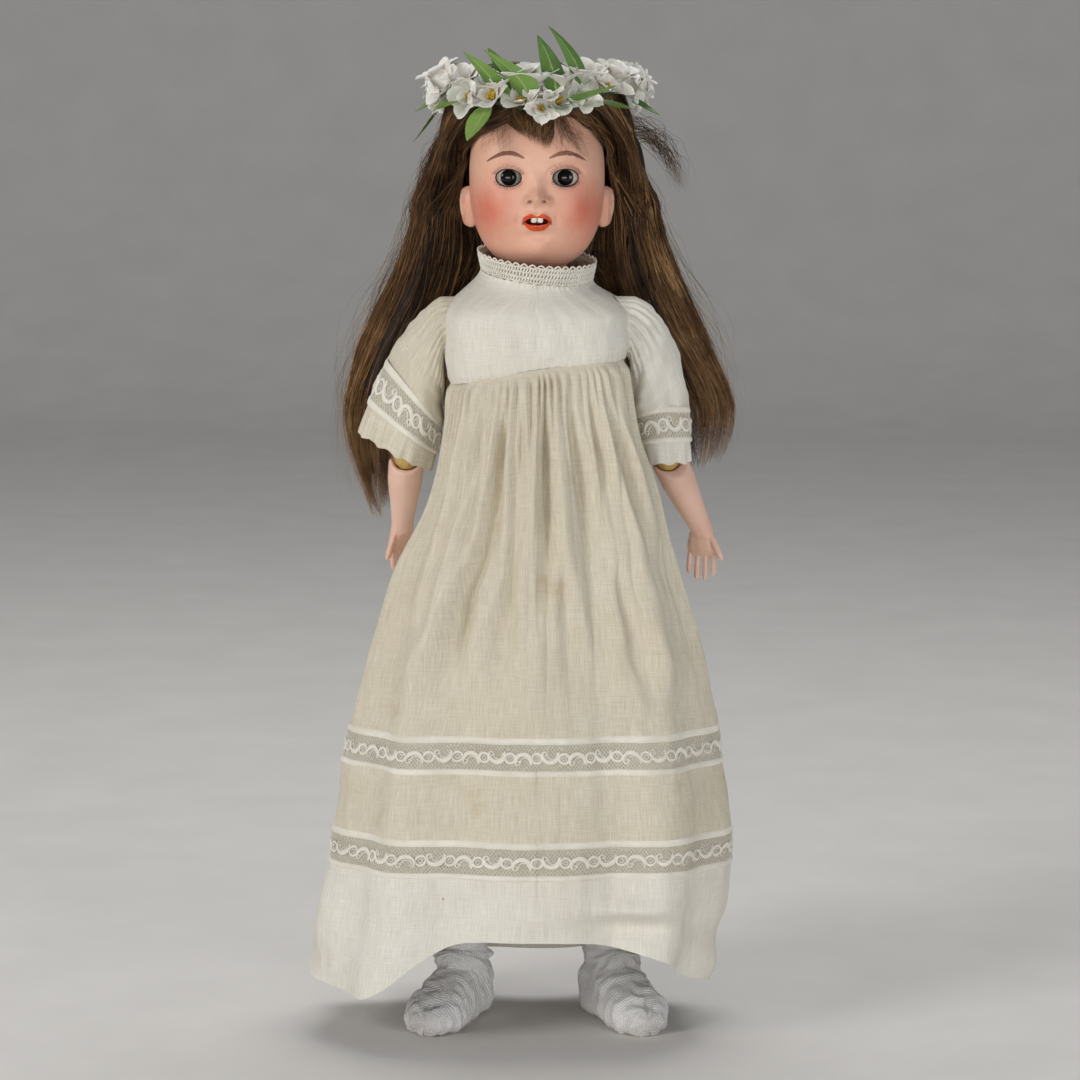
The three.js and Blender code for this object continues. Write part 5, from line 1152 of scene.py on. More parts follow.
def strand_mesh(paths, thick, rng, curl, tone):
    """Thin tapering strands with a small wave of their own."""
    count, steps, _ = paths.shape
    t = np.linspace(0, 1, steps)[None]
    swing = rng.uniform(0, TAU, (count, 3, 1))
    pace = rng.uniform(1.5, 5.5, (count, 3, 1))
    drift = np.sin(TAU * pace * t[:, None] + swing).transpose(0, 2, 1)
    loose = smoothstep(t, 0.03, 0.4)[..., None]
    paths = paths + drift * loose * (curl * rng.uniform(0.3, 1.7, (count, 1, 1)))
    taper = 0.6 + 0.4 * np.sin(np.pi * np.clip(0.15 + 0.7 * t, 0, 1))
    taper = taper * (1 - 0.9 * smoothstep(t, 0.7, 1.0))
    points, faces = tubes(paths, np.asarray(thick).reshape(-1, 1) * taper, 3)
    lighter = 0.22 * smoothstep(HEAD[2] - paths[..., 2], 10, 130)
    tone = np.clip(np.asarray(tone).reshape(-1, 1) + lighter, 0.02, 0.98)
    return points, faces, np.repeat(tone[:, :, None], 3, 2).ravel()


def crown_keys(side, turn, layer, rng):
    """Places down the side of the head, from the parting to above the ear."""
    keys = []
    for degrees, front in ((84, 15), (66, 26), (47, 42), (30, 60), (14, 78)):
        azimuth = side * np.radians(lerp(front, BEHIND_EAR, turn) + rng.normal(0, 2, len(turn)))
        elevation = np.full(len(turn), math.radians(degrees))
        height = wig_top(azimuth, elevation) - HAIR_GAP
        keys.append(head_point(azimuth, elevation, HAIR_GAP + height * layer))
    return keys


def side_strands(side, count, seed, spread, steps=34):
    """Long hair from the parting, round the head and down one side."""
    rng = np.random.default_rng(seed)
    table = SIDE_FALLS[side]
    place, clump = clumped(rng, count, spread)
    deep, out = place.T
    layer = lerp(0.35, 1.03, (out + 1) / 2)
    keys = crown_keys(side, (deep + 1) / 2, layer, rng)
    end = table[-1, 0] - rng.gamma(1.3, 17, CLUMPS)[clump] - rng.gamma(1.4, 6, count)
    end = np.clip(end, 80, table[-1, 0] + 4)
    for share in (0.0, 0.1, 0.22, 0.36, 0.52, 0.68, 0.84, 1.0):
        keys.append(fall_point(table, side, lerp(14.0, end, share), out, 0.12 + 0.85 * deep))
    tone = rng.normal(0.36, 0.13, CLUMPS)[clump] + rng.normal(0, 0.12, count) + 0.10 * out
    return waved(smooth_paths(np.stack(keys, 1), steps), clump, rng, 2.4), rng, tone


def back_strands(count, seed):
    """Long hair from the crown down the back."""
    rng = np.random.default_rng(seed)
    place, clump = clumped(rng, count, 0.14)
    across = np.where(rng.uniform(size=count) < 0.5, place[:, 0], rng.uniform(-1, 1, count))
    deep = place[:, 1] * np.sqrt(np.clip(1 - across ** 2, 0.03, 1))
    azimuth = np.pi - across * math.radians(58) + rng.normal(0, 0.05, count)
    keys = []
    for degrees in (86, 62, 38, 14, -8):
        elevation = np.full(count, math.radians(degrees))
        height = wig_top(azimuth, elevation) - HAIR_GAP
        lift = HAIR_GAP + height * rng.uniform(0.86, 1.03, count)
        keys.append(head_point(azimuth, elevation, lift))
    end = BACK_FALL[-1, 0] - rng.gamma(1.5, 9, CLUMPS)[clump] - rng.gamma(1.2, 6, count)
    end = np.clip(end, 100, BACK_FALL[-1, 0])
    for share in (0.10, 0.26, 0.46, 0.72, 1.0):
        drop = lerp(BACK_FALL[0, 0], end, share)
        keys.append(fall_point(BACK_FALL, 1, drop, across * behind_ears(drop), deep))
    tone = rng.normal(0.34, 0.12, CLUMPS)[clump] + rng.normal(0, 0.12, count)
    return waved(smooth_paths(np.stack(keys, 1), 28), clump, rng, 2.0), rng, tone


def behind_ears(drop):
    """How much wider the back hair spreads at neck height, where it fills in behind the ears."""
    return 1 + 0.5 * bell(drop, 58, 34)


HAIRLINE = {  # x and z of the forehead's edge
    LEFT: [(10, 41), (19, 36.5), (28, 31), (35.5, 24)],
    RIGHT: [(6, 41), (-9, 35), (-21, 29.5), (-32.5, 24)],
}


def swept_strands(side, count, seed):
    """Hair combed from the parting over the edge of the forehead and down behind the ear."""
    rng = np.random.default_rng(seed)
    high = rng.beta(0.8, 1.4, count)
    keys = []
    for i, (x, z) in enumerate(HAIRLINE[side]):
        stray = rng.normal(0, 0.9, count)
        azimuth, elevation = face_angles(x + stray, np.minimum(z + stray + (13 - 2 * i) * high, 45))
        lift = 1.0 + (4 + i) * rng.uniform(0.1, 1.0, count) * (0.4 + high)
        keys.append(head_point(azimuth, elevation, lift))
    for degrees, turn in ((18, 80), (4, 96)):
        azimuth = side * np.radians(turn + 14 * high + rng.normal(0, 3, count))
        elevation = np.radians(degrees + 8 * high)
        keys.append(head_point(azimuth, elevation, 3 + 15 * high * rng.uniform(0.6, 1.0, count)))
    table = SIDE_FALLS[side]
    across, deep = rng.uniform(-0.95, 0.7, count), rng.uniform(-0.7, 0.4, count)
    end = rng.uniform(70, 150, count)
    for share in (0.0, 0.3, 0.65, 1.0):
        keys.append(fall_point(table, side, lerp(30.0, end, share), across, deep))
    return smooth_paths(np.stack(keys, 1), 34), rng, rng.normal(0.42, 0.15, count)


STRAY_LOCKS = {  # x, z and y from the head's middle
    LEFT: [(50, 30, 8), (62, 26, 10), (72, 20, 12), (81, 8, 14), (87, -8, 14)],
    RIGHT: [(-50, 26, 8), (-60, 14, 10), (-67, -2, 12), (-71, -18, 14), (-71, -31, 15)],
}


def stray_lock(side, count, seed, spread):
    """A short lock that springs out above the ear."""
    rng = np.random.default_rng(seed)
    azimuth = side * np.radians(rng.normal(52, 6, count))
    elevation = np.full(count, math.radians(44))
    keys = [head_point(azimuth, elevation, wig_top(azimuth, elevation))]
    offset = rng.normal(0, spread, (count, 3))
    for i, (x, z, y) in enumerate(STRAY_LOCKS[side]):
        keys.append(np.array([x, y, z]) + HEAD + offset * (1 - 0.12 * i))
    return smooth_paths(np.stack(keys, 1), 56), rng, rng.normal(0.36, 0.12, count)


def fringe_strands(count, seed):
    """The tuft that falls from the parting on the middle of the forehead."""
    rng = np.random.default_rng(seed)
    v = rng.uniform(0, 1, count)
    keys = []
    for degrees in (70, 56):
        azimuth = np.radians(lerp(-6, 16, v))
        elevation = np.full(count, math.radians(degrees))
        lift = wig_top(azimuth, elevation) * rng.uniform(0.9, 1.03, count)
        keys.append(head_point(azimuth, elevation, lift))
    full = np.sin(np.pi * np.clip(v, 0.08, 0.92)) ** 0.5
    reach = rng.uniform(0.55, 1.0, count)
    thick = full * rng.uniform(0.15, 1.0, count)
    low = lerp(29.0, 14.5, v ** 0.7)
    for share, left, right, lift in ((0, -19, 8, 6.0), (0.65, -18, 9.5, 5.2), (1.0, -13, 6, 2.4)):
        x = lerp(left, right, v) + rng.normal(0, 0.5, count)
        height = lerp(39.0, low, reach * share) if share else np.full(count, 38.0)
        azimuth, elevation = face_angles(x, height)
        keys.append(head_point(azimuth, elevation, 0.7 + lift * thick))
    return smooth_paths(np.stack(keys, 1), 20), rng, rng.normal(0.5, 0.15, count)


def wisps(count, seed):
    """Single hairs that lie across the forehead."""
    rng = np.random.default_rng(seed)
    right = rng.uniform(size=count) < 0.7
    start = np.where(right, rng.uniform(6, 16, count), rng.uniform(-26, -10, count))
    ends = np.where(right, rng.uniform(12, 35, count), rng.uniform(-34, -20, count))
    bottom = np.where(right, rng.uniform(6, 24, count), rng.uniform(13, 22, count))
    keys = []
    for share in (0.0, 0.35, 0.7, 1.0):
        x = lerp(start, ends, share ** 1.3) + rng.normal(0, 1.2, count)
        azimuth, elevation = face_angles(x, lerp(38.0, bottom, share))
        lift = lerp(2.0, 0.4, share) + rng.uniform(0, 0.6, count)
        keys.append(head_point(azimuth, elevation, lift))
    return smooth_paths(np.stack(keys, 1), 18), rng, rng.normal(0.4, 0.1, count)


def crown_cover():
    """The wig's close cap under its strands, a little below their height."""
    columns = np.radians(np.linspace(0, 360, 121)[:-1])
    share = np.linspace(0, 1, 36)[:, None]
    forward = np.cos(columns)
    edge = (hairline(columns) + np.radians(1 + 9 * smoothstep(forward, 0.1, 0.8)))[None]
    elevation = lerp(edge, np.pi / 2 - 0.001, share)
    azimuth = np.broadcast_to(columns, elevation.shape)
    groove = 0.5 * np.cos(60 * azimuth + 3 * np.sin(7 * azimuth)) * (1 - share ** 3)
    height = wig_top(azimuth, elevation) * lerp(0.35, 0.88, smoothstep(share, 0, 0.35)) + groove
    top = head_point(azimuth, elevation, height)
    points = np.concatenate([head_point(columns, edge[0], 0.3)[None], top])
    return points, grid_faces(len(points), len(columns), True)


def lock_cover(table, side, scale, sides=72, widen=np.ones_like):
    """The inside of a lock under its strands, which takes a very dark tone as painted shade between
    them.
    """
    end = table[-1, 0] - 30
    drop = np.linspace(table[0, 0], end, 70)[:, None]
    turn = circle(sides)[None]
    rib = scale * (1 - 0.10 * (1 + np.cos(17 * turn + 2.5 * np.sin(drop / 37))) / 2)
    thin = 1 - 0.85 * smoothstep(drop, end - 60, end)
    across, deep = widen(drop) * rib * np.cos(turn) * thin, rib * np.sin(turn) * thin
    points = fall_point(table, side, drop + 0 * turn, across, deep)
    return points, grid_faces(len(drop), sides, True)


def many(*meshes):
    """Meshes of strands as one, with the tone of each point."""
    points, faces = joined(*[(p, f) for p, f, _ in meshes])
    return points, faces, np.concatenate([t for _, _, t in meshes])


def dressed(name, strands, cover, nodes, inside=0.06):
    """One piece of hair, with its cover in a dark tone of its own, as painted shade between the
    strands.
    """
    painted_shade_tone = np.full(cover[0].size // 3, inside)
    points, faces, tone = many(*strands, (*cover, painted_shade_tone))
    obj = piece(name, points, faces, HAIR, tone=tone)
    for node in nodes:
        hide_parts(node)
    return obj


def hang(obj):
    """Bakes the hair's placement into its mesh; the heights of a turn with the shoulders are worked
    out but not used.
    """
    start, end = (world([0, 0, level]) for level in HAIR_TURN)
    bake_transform(obj)
    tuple(start)
    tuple(end)


def flown(paths, rng, reach):
    """Loose hairs that stray from their lock towards their ends."""
    count, steps, _ = paths.shape
    t = np.linspace(0, 1, steps)[None, :, None]
    stray = rng.normal(0, 1, (count, 1, 3)) * np.array([1.0, 0.5, 0.35])
    stray[..., 0] += 0.5 * np.sign(paths[:, -1:, 0])
    stray[..., 1] = 0.3 + np.abs(stray[..., 1])
    pace, phase = rng.uniform(0.5, 1.6, (count, 1, 1)), rng.uniform(0, 1, (count, 1, 3))
    turn = np.sin(TAU * (t * pace + phase))
    paths = paths + smoothstep(t, 0.25, 1.0) * (stray * reach + turn * reach * 0.45)
    over = np.clip(np.abs(paths[..., 0]) - HAIR_REACH, 0, None)
    paths[..., 0] -= np.sign(paths[..., 0]) * (over - REACH_SOFT * np.tanh(over / REACH_SOFT))
    return paths


def strands(drawn, thin, thick, curl):
    """Strands along drawn paths, with thicknesses between two radii."""
    paths, rng, tone = drawn
    return strand_mesh(paths, rng.uniform(thin, thick, len(paths)), rng, curl, tone)


HAIR_TURN = (503.0, 454.0)  # heights where long hair would start to leave the head and would have left it; no such turn is made
STRAY = {LEFT: (90, 5.4), RIGHT: (110, 3.0)}  # hairs in the short lock, and their spread
for side, seed in ((LEFT, 41), (RIGHT, 42)):
    stray, spread = STRAY[side]
    parts = [strands(side_strands(side, 1700, seed, 0.16), 0.2, 0.42, 0.9),
             strands(swept_strands(side, 420, seed + 20), 0.14, 0.32, 0.5),
             strands(stray_lock(side, stray, seed + 30, spread), 0.05, 0.15, 1.4)]
    paths, rng, tone = side_strands(side, 460, seed + 10, 0.5, 64)
    parts.append(strands((flown(paths, rng, 8.0), rng, tone), 0.05, 0.10, 2.6))
    name = f"hair_{SIDE_NAMES[side]}"
    hang(dressed(name + "_strands", parts, lock_cover(SIDE_FALLS[side], side, 0.74), [name]))
parts = [strands(back_strands(1500, 43), 0.22, 0.46, 0.9)]
cover = lock_cover(BACK_FALL, 1, 0.8, 110, behind_ears)
hang(dressed("hair_back_strands", parts, cover, ["hair_back"]))
parts = [strands(fringe_strands(520, 44), 0.10, 0.26, 0.4),
         strands(wisps(120, 45), 0.035, 0.07, 0.8)]
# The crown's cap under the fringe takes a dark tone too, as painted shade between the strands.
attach(dressed("fringe_strands", parts, crown_cover(), ["fringe", "wig_crown"], 0.24), "head")

# Wreath

WREATH_ELEVATION = math.radians(43)
WIRE, WIRE_GAP, STALK = 1.6, 0.9, 0.6


def wreath_point(azimuth):
    azimuth = np.asarray(azimuth, float)
    elevation = np.full_like(azimuth, WREATH_ELEVATION)
    return head_point(azimuth, elevation, wig_top(azimuth, elevation) + WIRE + WIRE_GAP)


def wreath_ring():
    """Two wires twisted about each other."""
    turn = np.linspace(0, TAU, 241)
    core = wreath_point(turn)
    outwards = unit(core - (HEAD + [0, 0, core[0, 2] - HEAD[2]]))
    wrap = []
    for phase in (0, np.pi):
        twist = (70 * turn + phase)[:, None]
        wrap.append(core + 0.9 * (outwards * np.cos(twist) + np.array([0, 0, 1.0]) * np.sin(twist)))
    return tubes(wrap, 0.75, 6, up=(0, 0, 1))


fitted(piece("wreath_ring_wrapped", *wreath_ring(), WIRE_AND_SHADE), "head", "green_wire", "wreath_ring")


def frame_along(direction, spin):
    """Three unit vectors with the last along direction, turned about it by spin."""
    w = unit(np.asarray(direction, float))
    u = unit(np.cross(w, [0.31, 0.2, 0.93]))
    v = np.cross(w, u)
    c, s = math.cos(spin), math.sin(spin)
    return np.stack([u * c + v * s, v * c - u * s, w])


def petal(length, half, tilt_from, tilt_to, rng):
    """One cupped petal that leans out from +Z towards +X, with its place along and near its rim."""
    u, v = pairs(np.linspace(0, 1, 13), np.linspace(-1, 1, 9))
    tilt = np.radians(lerp(tilt_from, tilt_to, u[:, :1]))
    step = length / (len(u) - 1)
    out, up = (np.concatenate([[[0]], np.cumsum(way(tilt[1:]) * step, 0)])
               for way in (np.sin, np.cos))
    blunt = np.sqrt(np.clip(1 - (np.clip(u - 0.52, 0, None) / 0.485) ** 1.8, 0.02, 1))
    width = half * lerp(0.22, 1.0, smoothstep(u, 0.0, 0.55)) * blunt
    cup = 0.32 * half * v ** 2 * np.sin(np.pi * np.clip(0.15 + 0.8 * u, 0, 1)) ** 0.6
    wave = 0.5 * np.sin(4 * v + rng.uniform(0, 6)) * u ** 2
    x = 1.2 + out - cup * np.cos(tilt) + wave
    z = up + cup * np.sin(tilt)
    points = np.stack([x, width * v, z], -1)
    rim = np.maximum(smoothstep(np.abs(v), 0.72, 1.0), smoothstep(u, 0.86, 1.0))
    return points.reshape(-1, 3), grid_faces(*u.shape), u.ravel(), rim.ravel()


PETALS = [  # count, turn, length, half width, tilt at the foot and at the tip
    (5, 0, 15.8, 6.9, 30, 74), (2, 0.6, 10.0, 5.0, 12, 42)]
STAMENS = 14


def blossom(place, direction, size, rng):
    """An open flower: outer and inner petals, and stamens."""
    axes = frame_along(direction, rng.uniform(0, 6))
    parts, along, rims = [], [], []
    for count, first, length, half, lean, open_to in PETALS:
        for i in range(count):
            turn = TAU * (i + rng.uniform(-0.12, 0.12)) / count + first
            reach = length * size * rng.uniform(0.9, 1.1)
            tilts = lean + rng.uniform(-6, 6), open_to + rng.uniform(-14, 14)
            points, faces, share, rim = petal(reach, half * size, *tilts, rng)
            c, s = math.cos(turn), math.sin(turn)
            points = points @ np.array([[c, s, 0], [-s, c, 0], [0, 0, 1]])
            parts.append((points @ axes + place, faces))
            along.append(share)
            rims.append(rim)
    stems = rng.normal(0, 1, (STAMENS, 2)) * 0.9 * size
    tips = np.column_stack([stems * 2.0, rng.uniform(4.2, 6.2, STAMENS) * size])
    roots = np.column_stack([stems * 0.4, np.full(STAMENS, 0.6)])
    paths = roots[:, None] + (tips - roots)[:, None] * np.linspace(0, 1, 5)[None, :, None]
    pollen = tubes(paths @ axes + place, np.array([0.22, 0.22, 0.3, 0.75, 0.3]) * size, 6)
    return joined(*parts), np.concatenate(along), np.concatenate(rims), pollen


def wreath_seat(azimuth, up):
    """A place on the wreath and the way that points out of it there."""
    level = np.array([math.sin(azimuth), -math.cos(azimuth), 0.0])
    direction = level * math.cos(up) + np.array([0, 0, math.sin(up)])
    return wreath_point(azimuth) + direction * (WIRE + STALK), direction


BLOSSOMS = {  # node: azimuth, up in degrees, stalk in mm, size
    "flower_1": [(-105, 34, 1, 1.0), (-92, 54, 2, 1.0), (-84, -10, 0, 1.0)],
    "flower_2": [(-60, 26, 1, 1.12), (-50, 60, 3, 1.0), (-74, 62, 4, 1.0), (-70, -14, 0, 0.95)],
    "flower_3": [(-30, 34, 1, 1.1), (-27, 70, 5, 1.05), (-11, 48, 1, 1.05), (-45, 0, 0, 0.9),
                 (-15, 76, 11, 1.1)],
    "flower_4": [(15, 40, 0, 1.0), (4, 60, 3, 1.0), (18, 80, 9, 1.1), (0, 78, 12, 1.1),
                 (3, 14, 0, 0.8)],
    "flower_5": [(45, 44, 2, 1.1), (33, 76, 8, 1.15), (55, 70, 5, 1.0), (62, 18, 0, 0.9),
                 (30, 30, 0, 0.85)],
    "flower_6": [(75, 30, 1, 1.05), (84, 62, 2, 1.0), (91, 6, 1, 1.0), (74, -12, 0, 0.9)],
}


def flower(node, places, seed):
    rng = np.random.default_rng(seed)
    parts = []
    for azimuth, up, stalk, size in places:
        place, direction = wreath_seat(math.radians(azimuth), math.radians(up))
        parts.append(blossom(place + direction * stalk, direction, size, rng))
    petals, along, rims, pollen = zip(*parts)
    obj = piece(node + "_petals", *joined(*petals), PETAL, along=np.concatenate(along),
                rim=np.concatenate(rims))
    fitted(obj, "head", "petal", node)
    fitted(piece(node + "_stamens", *joined(*pollen), POLLEN), "head", "petal")


for seed, (node, places) in enumerate(BLOSSOMS.items(), 61):
    flower(node, places, seed)


def leaf_blade(azimuth, up, length, half, curl, sway):
    """A pointed leaf folded a little along its midrib."""
    t, u = pairs(np.linspace(0, 1, 25), np.linspace(-1, 1, 13))
    width = half * np.clip(np.sin(np.pi * (0.04 + 0.95 * t) ** 0.85), 0.02, None) ** 0.85
    across = u * width + sway * t ** 2
    fold = -0.28 * np.abs(u * width)
    rib = 0.35 * bell(u, 0, 0.10) * (1 - t)
    side_vein = np.cos(TAU * (t * 7 + np.abs(u) * 1.3))
    y = curl * t * t - fold + 0.12 * side_vein * np.abs(u) + rib
    z = length * t
    lean = math.pi / 2 - up
    c, s = math.cos(lean), math.sin(lean)
    y, z = y * c - z * s, y * s + z * c
    c, s = math.cos(azimuth), math.sin(azimuth)
    start, _ = wreath_seat(azimuth, up)
    points = np.stack([across * c - y * s, across * s + y * c, z], -1) + start
    vein = 0.55 * smoothstep(side_vein, 0.75, 1.0) * (np.abs(u) < 0.95)
    vein = np.maximum(bell(u, 0, 0.08), vein)
    return points.reshape(-1, 3), grid_faces(*t.shape), vein.ravel()


LEAVES = {  # node: azimuth, up in degrees, length, half width, curl, sway, tone
    "leaf_1": [(-90, -62, 34, 6.6, 5, 1, 0.75), (-76, -40, 22, 6.4, 4, 2, 0.55)],
    "leaf_2": [(-4, 50, 40, 8.0, 4, -26, 0.7), (-24, 52, 34, 7.0, 4, -18, 0.6),
               (-34, -46, 32, 7.2, 3, 1, 0.85), (-50, -26, 24, 7.4, 3, -2, 0.8),
               (-16, 66, 34, 6.6, 4, -14, 0.35)],
    "leaf_3": [(14, 68, 42, 6.8, 4, -14, 0.3), (32, 72, 42, 5.6, 8, -26, 0.4),
               (24, 10, 32, 7.2, 6, 16, 0.6), (12, -8, 16, 6.2, 3, 2, 0.65)],
    "leaf_4": [(66, -40, 26, 6.6, 5, 2, 0.45), (42, -24, 24, 6.4, 5, 6, 0.6)],
}
for node, blades in LEAVES.items():
    meshes, veins, tones = [], [], []
    for azimuth, up, *shape, tone in blades:
        points, faces, vein = leaf_blade(math.radians(azimuth), math.radians(up), *shape)
        meshes.append((points, faces))
        veins.append(vein)
        tones.append(np.full(len(points), tone))
    obj = piece(node + "_blades", *joined(*meshes), LEAF, vein=np.concatenate(veins),
                tone=np.concatenate(tones))
    fitted(obj, "head", "leaf", node)

# Bodice and collar

BODICE_HALF_WIDTH, BODICE_FRONT, BODICE_BACK, BODICE_POWER = 55, 45, 42, 3.4
SHOULDER_START = 0.54
BODICE_HEIGHT = 60
ARMHOLE_RADIUS, ARMHOLE_X = 15, 40
COLLAR_BOTTOM, COLLAR_TOP, COLLAR_HEIGHT = 33, 35.4, 11
COLLAR_RADIUS, COLLAR_BAND = 36, 10.2
CROCHET_ROWS = (0.4, 3.4, 6.6, 9.4)
CUT_LENGTH = {  # metres
    "bodice": 0.075, "collar": 0.0105, "sleeve": 0.06, "cuff_lace": 0.015, "cuff_hem": 0.0105}


def outline(angle, left, right, front, back, power):
    """A rounded closed outline with its own reach to each of the four sides."""
    s, c = np.sin(angle), np.cos(angle)
    x, y = (np.sign(value) * np.abs(value) ** (2 / power) for value in (s, c))
    return x * np.where(s < 0, left, right), -y * np.where(c > 0, front, back)


def waist_z(angle):
    """Height of the waist seam, which is higher at the left and front."""
    return WAIST_Z + 7 * np.sin(angle) + 3 * np.cos(angle)


def collar_z(angle):
    """Height of the collar's foot, which is lower at the left and front."""
    return COLLAR_Z - 4 * np.cos(angle) - 3.5 * np.sin(angle)


def bodice_half(full, t, roundness):
    """Half of the bodice's width or depth, which narrows to the collar."""
    return lerp(full, COLLAR_BOTTOM, smoothstep(t, SHOULDER_START, 1) ** roundness)


def bodice_power(t):
    return lerp(BODICE_POWER, 2, smoothstep(t, SHOULDER_START, 1))


def bodice_point(angle, t, out=0.0):
    side = bodice_half(BODICE_HALF_WIDTH, t, 1.6) + out
    front, back = (bodice_half(full, t, 1.2) + out for full in (BODICE_FRONT, BODICE_BACK))
    x, y = outline(angle, side, side, front, back, bodice_power(t))
    way = np.arctan2(x, -y)
    return np.stack([x, y, lerp(waist_z(way) + 0.3, collar_z(way) - 0.3, t)], -1)


def even_angles(count, curve):
    """Angles that give even steps along a closed outline."""
    dense = np.linspace(0, TAU, 6001)
    length = lengths(curve(dense))
    place = np.arange(count) / count * length[-1]
    return np.interp(place, length, dense), place, length[-1]


def bodice():
    rows, columns = 90, 300
    angle, place, around = even_angles(columns, lambda a: bodice_point(a, np.full_like(a, 0.2)))
    t = np.linspace(0, 1, rows)[:, None] * np.ones((1, columns))
    a, q = np.broadcast_to(angle, t.shape), np.broadcast_to(place, t.shape)
    v = BODICE_HEIGHT * t
    crease = 0.5 * waves(71, q, v, 10, 60, 26) + 0.35 * waves(72, q, v, 8, 24, 60)
    pucker = 0.25 * np.cos(q * TAU / 5.2) * smoothstep(0.16 - t, 0, 0.14)
    pucker += 0.35 * np.cos(q * TAU / 4.4) * smoothstep(t, 0.9, 1.0)
    tucked = -1.3 * smoothstep(0.06 - t, 0, 0.06) - 2.0 * smoothstep(0.24 - t, 0, 0.24)
    points = bodice_point(a, t, crease * smoothstep(t, 0.02, 0.2) + pucker + tucked + 0.3)
    faces = grid_faces(rows, columns, True)
    x, y, z = np.moveaxis(points, -1, 0)
    arm = np.hypot(y / ARMHOLE_RADIUS, (z - SHOULDER_Z) / ARMHOLE_RADIUS)
    open_side = ((arm < 1) & (np.abs(x) > ARMHOLE_X)).ravel()
    faces = faces[~open_side[faces].all(1)]
    obj = ring_cloth("bodice_cloth", points, WHITE, q, v, around, faces)
    fitted(obj, "torso", "white_lawn", "bodice")
    cloth(obj, CUT_LENGTH["bodice"])


def collar_radius(height):
    return COLLAR_BOTTOM + (COLLAR_TOP - COLLAR_BOTTOM) / COLLAR_HEIGHT * height


def collar_points(turn, radius, height):
    return np.stack([radius * np.sin(turn), -radius * np.cos(turn), collar_z(turn) + height], -1)


def crochet():
    """A band of looped cotton: cords along it, loops between them, arches on its upper edge."""
    turn = np.linspace(0, TAU, 721)
    cords = []
    for row in CROCHET_ROWS:
        cords.append(collar_points(turn, collar_radius(row), row + 0.25 * np.sin(37 * turn)))
    for low, high, count, first in zip(CROCHET_ROWS, CROCHET_ROWS[1:], (60, 52, 60), (0, 0, 0.7)):
        for phase in (first, first + np.pi):
            loop = lerp(low, high, 0.5 + 0.5 * np.sin(count * turn + phase))
            radius = collar_radius(loop) + 0.5 * np.cos(count * turn + phase)
            cords.append(collar_points(turn, radius, loop))
    arch = CROCHET_ROWS[-1] + 2.0 * np.abs(np.sin(22 * turn))
    cords.append(collar_points(turn, collar_radius(arch) + 0.2, arch))
    return tubes(cords, 0.54, 6, up=(0, 0, 1))


def collar():
    turn = circle(180)
    h = np.linspace(0, COLLAR_BAND, 10)[:, None]
    radius = collar_radius(h) - 0.7
    # The band under the loops takes the lace ground; its darker holes are painted shade between the
    # loops.
    band = ring_cloth("collar_band", collar_points(turn, radius, h), LACE_GROUND,
                      turn * COLLAR_RADIUS, h, TAU * COLLAR_RADIUS)
    fitted(band, "torso", "lace", "collar")
    loops = fitted(piece("collar_crochet", *crochet(), COTTON), "torso", "lace")
    cloth(band, CUT_LENGTH["collar"])


bodice()
collar()

# Lace

REPEAT, NET_STEP, LACE_LIFT = 33.6, 2.1, 0.5


def motif(band_height):
    """One repeat of the insertion as flat lines: rings between upright and hanging scrolls."""
    lines = []
    middle = band_height / 2
    turn = np.linspace(0, TAU, 25)
    for centre in (0.0, REPEAT / 2):
        lines.append((centre + 3.1 * np.cos(turn), middle + 2.8 * np.sin(turn), 0.95))
        lines.append((centre + 1.3 * np.cos(turn), middle + 1.2 * np.sin(turn), 0.3))
    sweep = np.linspace(-0.12 * np.pi, 1.08 * np.pi, 25)
    fat = 0.6 + 1.05 * np.sin(np.linspace(0.15, np.pi * 0.95, 25))
    curl = np.linspace(0, 1.7 * np.pi, 25) + np.pi
    small = lerp(1.9, 0.5, np.linspace(0, 1, 25))
    for centre, flip in ((REPEAT / 4, 1), (3 * REPEAT / 4, -1)):
        for across, up, width in (
                (centre + 5.0 * np.cos(sweep), 4.6 * np.sin(sweep) - 2.2, fat),
                (centre + 1.0 + 2.9 * np.cos(sweep), 2.7 * np.sin(sweep) - 2.2, 0.42),
                (centre - 5.0 + 1.6 + small * np.cos(curl), -2.4 + small * np.sin(curl), 0.5)):
            lines.append((across, middle + flip * up, width))
    return lines


def lace_threads(surface, around, height, margin):
    """The pattern and the net of an insertion, on surface(length along, length across, out)."""
    parts = []
    repeats = max(1, round(around / REPEAT))
    pitch = around / repeats
    for i in range(repeats):
        for along, across, width in motif(height):
            q = (along / REPEAT + i) * pitch
            path = surface(q, across, LACE_LIFT)
            out = unit(surface(q, across, LACE_LIFT + 1) - path)
            parts.append(tubes(path[None], width, 6, up=out[None], flat=0.45))
    net = []
    count = int(around / NET_STEP)
    v = np.linspace(margin, height - margin, 9)
    for sign in (1, -1):
        for i in range(count):
            q = i * around / count + sign * (v - height / 2) * 0.8
            net.append(surface(q, v, LACE_LIFT * 0.45))
    parts.append(tubes(np.array(net), 0.17, 3))
    return joined(*parts)


def tape(surface, around, low, high, out, columns):
    """A narrow stitched band along the edge of an insertion."""
    share = np.linspace(0, 1, 7)[:, None]
    q = np.arange(columns) / columns * around
    v = np.linspace(low, high, 7)[:, None]
    crown = np.sin(np.pi * share)
    stitch = 0.16 * np.cos(q * TAU / 1.9)[None] * crown
    points = surface(*np.broadcast_arrays(q, v), out * crown ** 0.6 + stitch)
    return points, grid_faces(len(v), columns, True)


